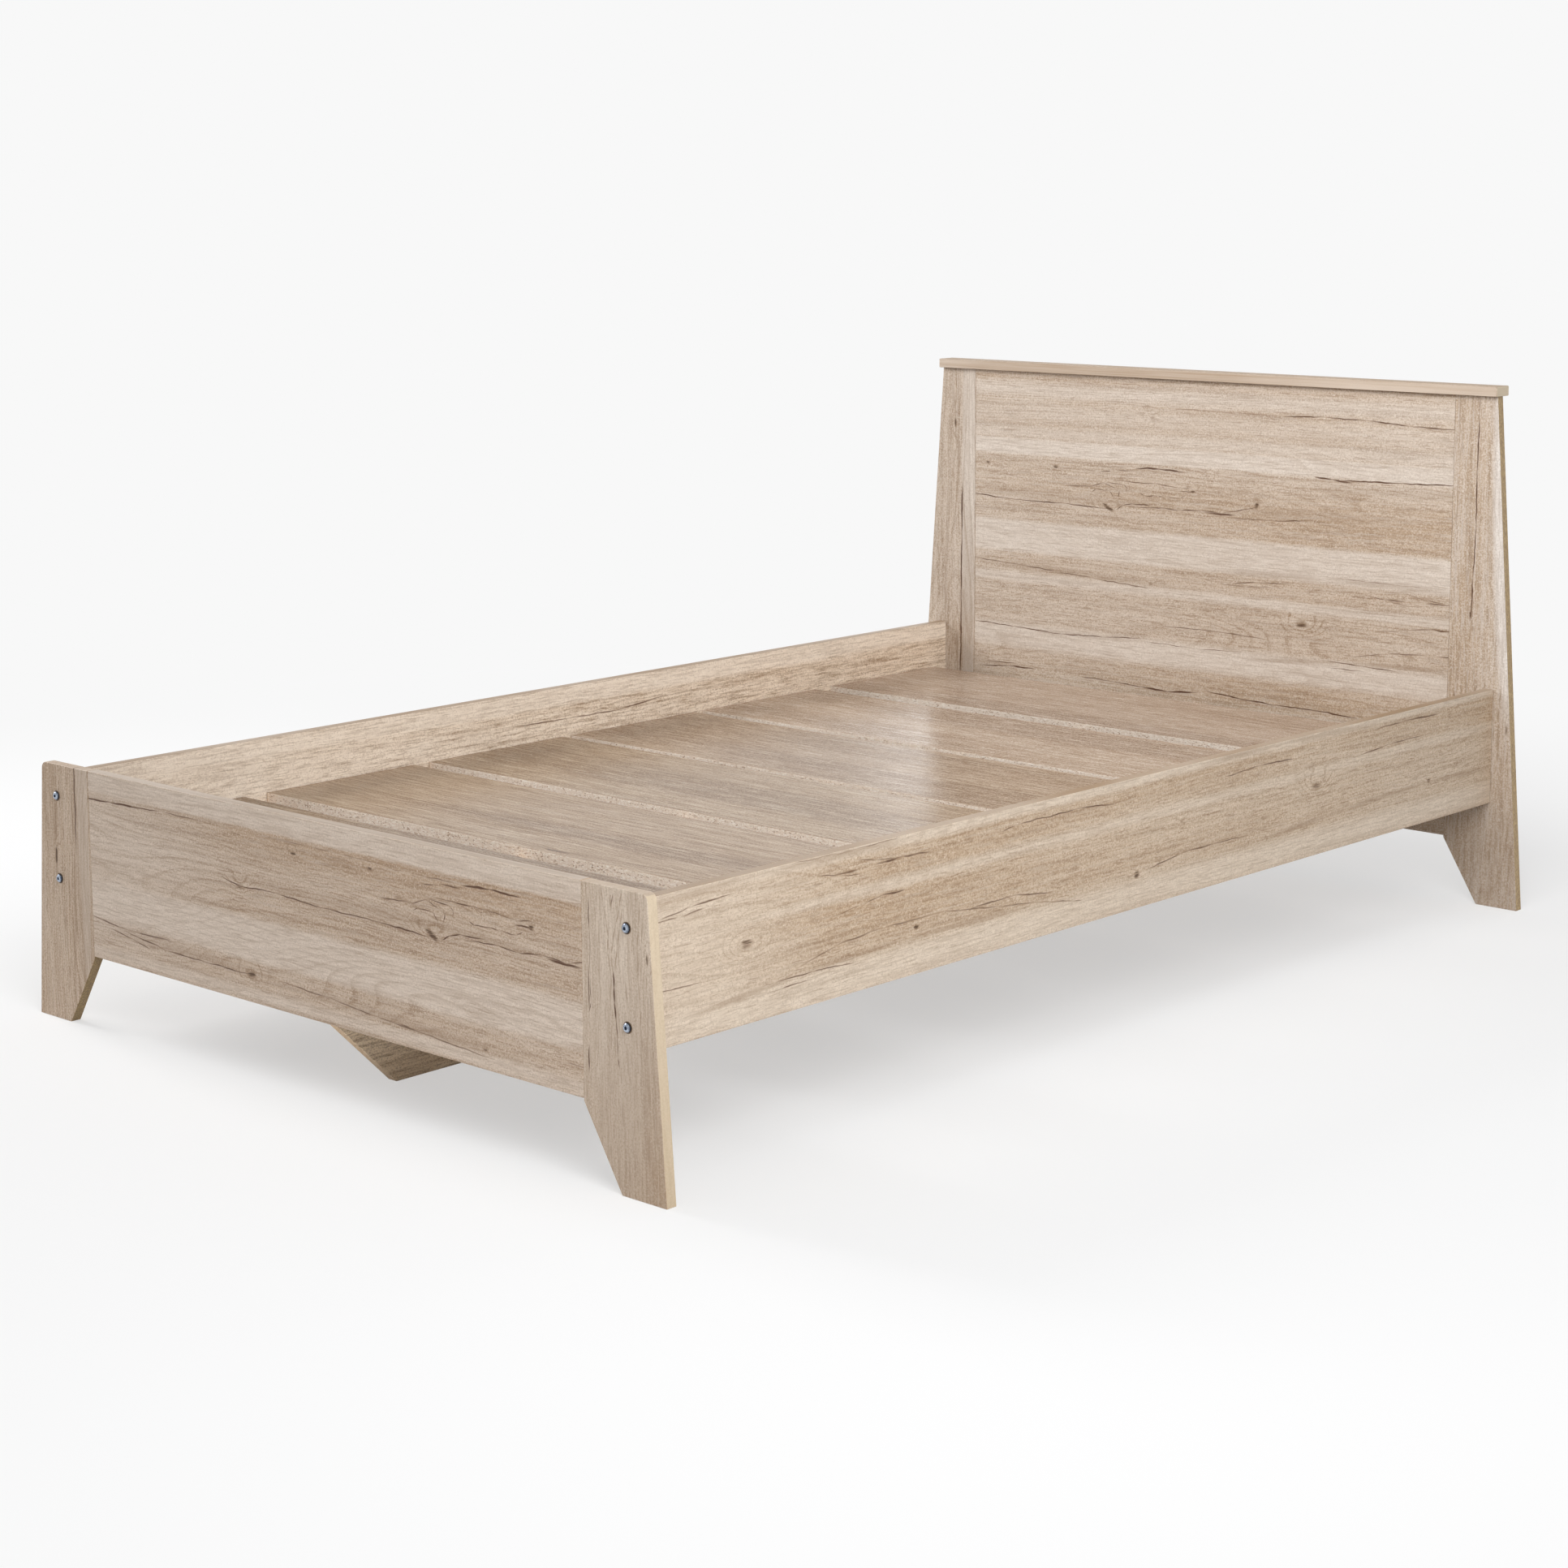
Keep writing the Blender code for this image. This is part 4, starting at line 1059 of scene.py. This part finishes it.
@dataclass
class EdgeTapes:
    """Strips of tape on the boards' narrow edges, three tenths of a millimetre proud.

    A tape's outer face is uneven as a sum of waves, each with its radians over the tape's length and the
    angle that it starts at.
    """

    thickness: float = 0.3 * MILLIMETRE
    inset: float = 0.5 * MILLIMETRE
    sunk: float = 0.2 * MILLIMETRE
    stations: int = 90
    short: float = 1.0 * MILLIMETRE
    unevenness: float = 0.01 * MILLIMETRE
    waves: tuple[tuple[float, float], ...] = ((61.0, 0.0), (23.0, 1.3))

    def edge(self, tape: TapeRun) -> tuple[np.ndarray, np.ndarray, np.ndarray, float]:
        """Find the middle line of the edge that a tape lies on.

        Along its run the line stops short of both corners. Where the tape faces it lies on the board's box,
        and on the third axis it lies halfway.

        Args:
            tape: The tape.

        Returns:
            The line's start and end, the direction that the edge faces, and the tape's width.
        """
        low, high = (np.array(corner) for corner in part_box(tape.node))
        start, end = (low + high) / 2, (low + high) / 2
        start[tape.run], end[tape.run] = low[tape.run] + self.short, high[tape.run] - self.short
        start[tape.facing] = end[tape.facing] = (high if tape.way > 0 else low)[tape.facing]
        wide = 3 - tape.run - tape.facing
        return start, end, tape.way * np.eye(3)[tape.facing], high[wide] - low[wide] - 2 * self.inset

    def strip(self, start: np.ndarray, end: np.ndarray, outwards: np.ndarray, width: float) -> np.ndarray:
        """Give the sections of one tape.

        A section is a rectangle with softened outer corners. It stands on the line from start to end, and
        its width runs square to the line and to the outward direction.

        Args:
            start: The middle of the edge at one end.
            end: The middle of the edge at the other end.
            outwards: The direction that the edge faces.
            width: The tape's width.

        Returns:
            Points by section, by corner, by direction.
        """
        side = np.cross(end - start, outwards)
        side = side / np.linalg.norm(side)
        half, full = width / 2, self.thickness
        soft = full * 0.5
        across = np.array([-half, -half, -half + soft, 0.0, half - soft, half, half])
        height = np.array([-self.sunk, full - soft, full, full, full, full - soft, -self.sunk])
        places = np.linspace(0.0, 1.0, self.stations)[:, None, None]
        wave = self.unevenness * sum(np.sin(turns * places + begun) for turns, begun in self.waves)
        lifted = height[None, :, None] + wave * (height > 0)[None, :, None]
        return start + (end - start) * places + side * across[None, :, None] + outwards * lifted

    def build(self) -> int:
        """Lay all tapes and return how many there are."""
        x, y, z = range(3)
        crosswise = EdgeTape(Grain.PANEL, Tone.CAP_TAPE, Tone.OAK_BROWN).material("tape_across")
        lengthwise = EdgeTape(Grain.RAIL, Tone.OAK_RING, Tone.OAK_BROWN).material("tape_along")
        cream = EdgeTape(Grain.RAIL, Tone.TAPE_CREAM, Tone.OAK_MID).material("tape_cap_end")
        front = EdgeTape(Grain.PANEL, Tone.CAP_TAPE, Tone.OAK_RING).material("tape_cap_front")
        tapes = (TapeRun("left_rail_top_tape", "left_side_rail", y, z, 1, lengthwise, "rail_decor"),
                 TapeRun("right_rail_top_tape", "right_side_rail", y, z, 1, lengthwise, "rail_decor"),
                 TapeRun("footboard_top_tape", "footboard_panel", x, z, 1, crosswise, "panel_decor"),
                 TapeRun("cap_front_tape", "headboard_cap", x, y, -1, front, "cap_decor"),
                 TapeRun("cap_left_tape", "headboard_cap", y, x, -1, cream, "cap_decor"),
                 TapeRun("cap_right_tape", "headboard_cap", y, x, 1, cream, "cap_decor"))
        for tape in tapes:
            points, faces = loft(self.strip(*self.edge(tape)))
            tidy_mesh(add_piece(tape.name, points, faces, tape.finish))
        return len(tapes)


@dataclass
class BrokenEdges:
    """The sawn front and back edges of the loose slat boards, with chips that stand out of them."""

    proud: float = 0.35 * MILLIMETRE
    inset: float = 0.25 * MILLIMETRE
    sunk: float = 0.6 * MILLIMETRE
    step: float = 2.2 * MILLIMETRE
    rows: int = 9
    short: float = 2.0 * MILLIMETRE
    seed: int = 41
    layers: tuple[tuple[int, float], ...] = ((6, 0.45), (2, 0.35), (0, 0.2))
    # Painted light: the sawn edges nearer the foot are lighter, and those nearer the head darker
    painted_light_tints: tuple[float, ...] = (1.12, 1.04, 0.99, 0.88, 0.82, 0.75)

    def relief(self, stations: int, random: np.random.Generator) -> np.ndarray:
        """Give the height of the chips on a grid along and up the edge.

        The height is the sum of three random grids, each smoothed by averaging with its neighbours a
        different number of times, so that there are coarse, middle and fine chips.

        Args:
            stations: How many places there are along the edge.
            random: The source of random numbers.

        Returns:
            Heights from 0 to 1, by place along and place up.
        """
        total = np.zeros((stations, self.rows))
        for passes, share in self.layers:
            layer = random.random((stations, self.rows))
            for _ in range(passes):
                layer = (layer + np.roll(layer, 1, axis=0) + np.roll(layer, -1, axis=0)) / 3
            spread = layer.max() - layer.min()
            total += share * (layer - layer.min()) / spread
        return total

    def wall(self, along: np.ndarray, depth: np.ndarray | float, up: np.ndarray) -> np.ndarray:
        """Spread places along, depths and heights into one grid of points."""
        return np.stack(np.broadcast_arrays(along[:, None], depth, up[None, :]), axis=-1)

    def build(self) -> int:
        """Put a broken edge on both long edges of each slat board and return how many there are."""
        random = np.random.default_rng(self.seed)
        made = 0
        for number, shade in enumerate(self.painted_light_tints, 1):
            material = RawChipboard(tint=(shade, shade, shade)).material(f"sawn_edge_painted_light_{number}")
            low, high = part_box(f"slat_board_{number}")
            along = np.arange(low.x + self.short, high.x - self.short, self.step)
            up = np.linspace(low.z + self.inset, high.z - self.inset, self.rows)
            for name, y, out in (("front", low.y, -1.0), ("back", high.y, 1.0)):
                height = self.relief(len(along), random)
                height[:, [0, -1]] = 0.0
                front = self.wall(along, y + out * self.proud * height, up)
                back = self.wall(along, y - out * self.sunk, up)[:, ::-1]
                points, faces = loft(np.concatenate([front, back], axis=1))
                tidy_mesh(add_piece(f"slat_{number}_{name}_chips", points, faces, material))
                made += 1
        return made


@dataclass
class ScrewSeats:
    """The rings that the button heads have pressed into the posts' decor."""

    inner: float = 5.4 * MILLIMETRE
    outer: float = 7.4 * MILLIMETRE
    lip: float = 0.25 * MILLIMETRE
    rounding: float = 0.4 * MILLIMETRE
    sides: int = 48

    def build(self) -> int:
        """Spin a ring round each rail screw and return how many there are.

        A ring is a profile of radius and height turned about the screw's axis: low at the head, up to a
        rounded lip, down again to the face, and back under it.
        """
        # The rings' dark colour is painted shade round the screw heads
        material = SeatRingShade().material("seat_ring_painted_shade")
        middle = (self.inner + self.outer) / 2
        radius = np.array([self.inner, middle, self.outer - self.rounding, self.outer, self.outer,
                           self.inner])
        height = np.array([0.3, 0.55, 1.0, 0.3, -1.0, -1.0]) * self.lip
        turn = np.linspace(0.0, 2.0 * np.pi, self.sides + 1)
        made = 0
        for end, out in (("footboard", -1.0), ("headboard", 1.0)):
            for side in ("left", "right"):
                low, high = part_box(f"{end}_{side}_post")
                face = low.y if out < 0 else high.y
                for level in ("upper", "lower"):
                    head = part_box(f"{end}_{side}_{level}_screw")
                    centre_x, centre_z = (head[0].x + head[1].x) / 2, (head[0].z + head[1].z) / 2
                    x = centre_x + radius[None, :] * np.cos(turn)[:, None]
                    z = centre_z + radius[None, :] * np.sin(turn)[:, None]
                    y = np.broadcast_to(face + out * height[None, :], x.shape)
                    points, faces = loft(np.stack([x, y, z], axis=-1), closed_ends=False)
                    piece = add_piece(f"{end}_{side}_{level}_seat", points, faces, material)
                    tidy_mesh(piece)
                    for polygon in piece.data.polygons:
                        polygon.use_smooth = True
                    made += 1
        return made


@dataclass
class EndBoards:
    """The footboard and headboard: panels, leaning posts and the cap."""

    footboard_lay: Lay = field(default_factory=lambda: Lay(Grain.PANEL, along=-0.419, across=0.335))
    headboard_lay: Lay = field(default_factory=lambda: Lay(Grain.PANEL))
    cap_lay: Lay = field(default_factory=lambda: Lay(Grain.PANEL, along=5.3, across=2.2))

    def dress(self) -> None:
        """Give the panels, posts and cap their decor."""
        pale_end = spot(LIGHT, -860, 580, 300, 200, 0.22)
        dress_board("footboard_panel", OakDecor(self.footboard_lay, tint=(1.08, 1.05, 1.02),
                                                marks=(*SHEET_MARKS, pale_end)))
        dress_board("headboard_panel", OakDecor(self.headboard_lay, tint=(1.02, 1.04, 1.06),
                                                marks=tuple(SHEET_MARKS)))
        dress_board("headboard_cap", OakDecor(self.cap_lay, rings=0.8, tint=(0.9, 0.89, 0.88)), "cap_decor")
        # Painted light: a paler zone on the footboard's right post, where more light falls on it
        foot_post_painted_light = spot(LIGHT, 220, 550, 360, 120, 0.3)
        # The left foot post's edge tint darkens its diagonal cut as painted shade, and the headboard right post's
        # blue-white tint is painted light
        for node, depth, edge, tint, edge_painted_shade, extra in (
                ("footboard_left_post", 0.3, EdgeKind.GOLD, (1.07, 1.03, 0.98), (0.6, 0.64, 0.61), ()),
                ("footboard_right_post", 1.1, EdgeKind.CREAM, (1.06, 1.04, 1.0), NO_TINT, (foot_post_painted_light,)),
                ("headboard_left_post", 2.4, EdgeKind.TAPE, (0.95, 0.96, 0.97), NO_TINT, ()),
                ("headboard_right_post", 3.6, EdgeKind.GOLD, (1.09, 1.16, 1.25), NO_TINT, ())):
            lay = Lay(Grain.POST, depth=depth)
            dress_board(node, OakDecor(lay, edge, rings=1.5, planks=0.9, tint=tint, edge_painted_shade=edge_painted_shade,
                                       marks=(*POST_MARKS, *extra)))


@dataclass
class SideRails:
    """The side rails with the cleats on their inner faces, and the centre support."""

    right_lay: Lay = field(default_factory=lambda: Lay(Grain.RAIL, along=0.9965, across=0.155))
    left_lay: Lay = field(default_factory=lambda: Lay(Grain.RAIL, along=7.2, across=3.1))
    support_lay: Lay = field(default_factory=lambda: Lay(Grain.RAIL, along=13.0, across=4.0))
    # Paler tones, used as painted light on the left rail and the centre support
    pale_tones: tuple[Tone, Tone, Tone] = (Tone.OAK_PALE, Tone.OAK_LIGHT, Tone.OAK_MID)

    def dress(self) -> None:
        """Give the rails, cleats and support their decor."""
        # Painted light: the rail is paler towards its foot end, where more light falls on it
        rail_end_painted_light = spot(LIGHT, 0, 420, 420, 300, 0.32)
        dress_board("right_side_rail", OakDecor(self.right_lay, rings=0.8, tint=(1.1, 1.07, 1.0),
                                                marks=(*SHEET_MARKS, rail_end_painted_light)), "right_rail_decor")
        light, mid, tan = self.pale_tones
        # The left rail's marks: a crack, a streak, a light band near its top, and a pale patch towards the foot
        # end that is painted light. The pale tones and the tint of 1.25 lighten the whole rail, as painted light
        # for its brightly lit inner face
        inner = (*trail(CRACK, 1.2, 0.6, (7087, 3403.5), (7200, 3402), (7304, 3401), (7417, 3410.5)),
                 *trail(STREAK, 3, 0.3, (7420, 3410), (7700, 3415)),
                 *spots(LIGHT, ((7200, 3440, 4000, 20, 0.5), (6300, 3400, 900, 300, 0.3))))
        left = OakDecor(self.left_lay, light=light, mid=mid, tan=tan, rings=0.55, tint=(1.25, 1.24, 1.2),
                        marks=inner)
        dress_board("left_side_rail", left, "left_rail_decor")
        for node, along in (("left_slat_cleat", 9.0), ("right_slat_cleat", 11.0)):
            lay = Lay(Grain.RAIL, along=along, across=4.0)
            dress_board(node, OakDecor(lay, rings=0.9, tint=(0.97, 0.95, 0.91)))
        # Painted light: the support's pale tones and its tint of up to 1.3 stand in for the bounced light that
        # lightens it under the bed
        dress_board("centre_support", OakDecor(self.support_lay, light=light, mid=mid, tan=tan,
                                               tint=(1.3, 1.22, 1.04)))


@dataclass
class Platform:
    """The six loose boards that carry the mattress."""

    sheet_step: float = 0.37
    # Painted shade: the boards nearer the foot are darker, and those near the head keep their colour
    painted_light_tints: tuple[Triple, ...] = ((0.70, 0.64, 0.54), (0.78, 0.71, 0.60), (0.80, 0.74, 0.63),
                                  (0.87, 0.82, 0.74), (1.03, 1.01, 0.98), (1.0, 0.985, 0.97))

    def dress(self) -> None:
        """Give each board a glossier decor from its own part of the sheet, with sawn edges."""
        for number, shade in enumerate(self.painted_light_tints, 1):
            lay = Lay(Grain.SLAT, depth=self.sheet_step * number)
            finish = OakDecor(lay, EdgeKind.RAW, Tone.SLAT_LIGHT, Tone.SLAT_MID, Tone.SLAT_DARK, tint=shade,
                              roughness=0.22, specular=0.12, rings=0.7, planks=2.0, marks=tuple(SLAT_MARKS))
            dress_board(f"slat_board_{number}", finish)


@dataclass
class Fittings:
    """Screws, studs, cam discs and dowels."""

    def dress(self) -> int:
        """Give each fitting its metal or wood and return how many there are."""
        zinc = ZincPlate().material("zinc_plate")
        cast = DieCast().material("die_cast_zinc")
        upright = Beech(Grain.POST).material("beech_upright")
        crosswise = Beech(Grain.SLAT).material("beech_crosswise")
        lengthwise = Beech(Grain.RAIL).material("beech_lengthwise")
        kinds = (("cam_disc", cast), ("screw", zinc), ("cam_stud", zinc), ("cap_dowel", upright),
                 ("support_foot_dowel", lengthwise), ("support_head_dowel", lengthwise),
                 ("dowel", crosswise))
        done = 0
        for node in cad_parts:
            fitting = [material for words, material in kinds if words in node]
            if fitting:
                dress(node, fitting[0])
                done += 1
        return done


@dataclass(frozen=True)
class Lamp:
    """One square soft light that the camera doesn't see.

    It hangs at its place and points at its aim, and its spread is the angle in degrees that its light leaves
    it in. A lamp that isn't mirrored doesn't show in shiny surfaces.
    """

    name: str
    place: Triple
    aim: Triple
    size: float
    watts: float
    spread: float = 180.0
    mirrored: bool = True

    def hang(self) -> None:
        """Put the lamp into the scene."""
        data = bpy.data.lights.new(self.name, "AREA")
        data.shape = "SQUARE"
        data.size = self.size
        data.energy = self.watts
        data.spread = math.radians(self.spread)
        lamp = bpy.data.objects.new(self.name, data)
        lamp.location = self.place
        lamp.visible_camera = False
        lamp.visible_glossy = self.mirrored
        lamp.rotation_euler = (Vector(self.aim) - Vector(self.place)).to_track_quat("-Z", "Y").to_euler()
        bpy.context.scene.collection.objects.link(lamp)


@dataclass
class Studio:
    """The pale floor, the soft lights and the camera."""

    eye: Triple = (3.052658, -3.388356, 1.190595)
    yaw: float = 0.747305
    pitch: float = -0.153989
    roll: float = -0.004581
    lens: float = 70.976
    shift_up: float = -0.09
    sensor: float = 36.0
    sight: float = 200.0
    floor_reach: float = 60.0
    floor_lines: int = 25
    fade: tuple[float, float, float, float] = (1.0, 2.8, 0.55, 1.0)
    fill: tuple[float, float, float, float] = (0.97, 0.98, 1.0, 1.0)
    fill_strength: float = 0.38
    lamps: tuple[Lamp, ...] = (
        Lamp("right_light", (2.4, -1.9, 2.0), (-0.3, 0.2, 0.3), 1.5, 60.0, mirrored=False),
        Lamp("over_light", (0.9, -0.75, 2.0), (-0.1, 0.95, 0.6), 1.0, 8.5, 110.0),
        Lamp("left_light", (-3.6, -1.0, 2.4), (0.0, 0.3, 0.3), 1.6, 100.0),
        Lamp("panel_light", (-3.1, 4.8, 1.5), (0.0, 0.2, 0.3), 1.5, 5.2),
        Lamp("back_light", (0.6, 4.6, 0.95), (0.0, 1.0, 0.45), 1.0, 32.0, mirrored=False),
    )

    def camera(self) -> None:
        """Stand the camera where the photograph was taken from.

        It looks along the direction given by yaw about the vertical and pitch above the level, and is then
        rolled about that direction.
        """
        away = math.cos(self.pitch)
        forward = np.array([-math.sin(self.yaw) * away, math.cos(self.yaw) * away, math.sin(self.pitch)])
        level = np.array([math.cos(self.yaw), math.sin(self.yaw), 0.0])
        upright = np.cross(level, forward)
        right = math.cos(self.roll) * level + math.sin(self.roll) * upright
        up = -math.sin(self.roll) * level + math.cos(self.roll) * upright
        rows = np.column_stack([right, up, -forward, self.eye])
        data = bpy.data.cameras.new("camera")
        data.lens = self.lens
        data.sensor_width = self.sensor
        data.shift_y = self.shift_up
        data.clip_end = self.sight
        camera = bpy.data.objects.new("camera", data)
        camera.matrix_world = Matrix([*rows.tolist(), [0.0, 0.0, 0.0, 1.0]])
        bpy.context.scene.collection.objects.link(camera)
        bpy.context.scene.camera = camera

    def background_share(self, wires: Wires) -> Socket:
        """Give 1 for what the camera sees, directly or in a reflection, and 0 for all other light."""
        seen = wires.node("ShaderNodeLightPath", {})
        return wires.maths("MAXIMUM", seen.outputs["Is Camera Ray"], seen.outputs["Is Glossy Ray"])

    def floor(self) -> None:
        """Lay a wide pale floor that keeps the bed's shadow and fades into the background far out."""
        grid = np.linspace(-self.floor_reach, self.floor_reach, self.floor_lines)
        x, y = np.meshgrid(grid, grid, indexing="ij")
        points = np.stack([x, y, np.zeros_like(x)], axis=-1).reshape(-1, 3)
        ids = np.arange(points.shape[0]).reshape(x.shape)
        faces = np.stack([ids[:-1, :-1], ids[1:, :-1], ids[1:, 1:], ids[:-1, 1:]], axis=-1).reshape(-1, 4)
        mesh = bpy.data.meshes.new("studio_floor")
        mesh.from_pydata(points.tolist(), [], faces.tolist())
        floor = bpy.data.objects.new("studio_floor", mesh)
        bpy.context.scene.collection.objects.link(floor)
        wires = Wires(bpy.data.materials.new("studio_floor"))
        far = wires.vectors("LENGTH", wires.place())
        matt = wires.node("ShaderNodeBsdfDiffuse", {"Color": Tone.STUDIO.colour}).outputs[0]
        glow = wires.node("ShaderNodeEmission", {"Color": Tone.STUDIO.colour, "Strength": 1.0}).outputs[0]
        share = wires.times(wires.spread(far, *self.fade, smooth=True), self.background_share(wires))
        wires.end(wires.node("ShaderNodeMixShader", {0: share, 1: matt, 2: glow}).outputs[0])
        mesh.materials.append(wires.owner)

    def world(self) -> None:
        """Make the background pale where it is seen, and a soft fill for all other light."""
        world = bpy.data.worlds.new("studio")
        bpy.context.scene.world = world
        wires = Wires(world, "ShaderNodeOutputWorld")
        pale = {"Color": Tone.STUDIO.colour, "Strength": 1.0}
        soft = {"Color": self.fill, "Strength": self.fill_strength}
        seen, fill = (wires.node("ShaderNodeBackground", inputs).outputs[0] for inputs in (pale, soft))
        share = self.background_share(wires)
        wires.end(wires.node("ShaderNodeMixShader", {0: share, 1: fill, 2: seen}).outputs[0])

    def build(self) -> None:
        """Set up the camera, floor, lights and background."""
        bpy.context.scene.view_settings.view_transform = "Standard"
        self.camera()
        self.floor()
        self.world()
        for lamp in self.lamps:
            lamp.hang()


def main() -> None:
    """Dress the bed, add its new pieces and set up the picture."""
    logging.basicConfig(level=logging.INFO, format="%(message)s")
    EndBoards().dress()
    LOG.info("footboard and headboard dressed")
    SideRails().dress()
    LOG.info("rails, cleats and support dressed")
    Platform().dress()
    LOG.info("slat boards dressed")
    LOG.info("fittings dressed: %d", Fittings().dress())
    LOG.info("edge tapes: %d", EdgeTapes().build())
    LOG.info("broken slat edges: %d", BrokenEdges().build())
    LOG.info("screw seats: %d", ScrewSeats().build())
    Studio().build()
    LOG.info("studio set up")


if __name__ == "__main__":
    main()
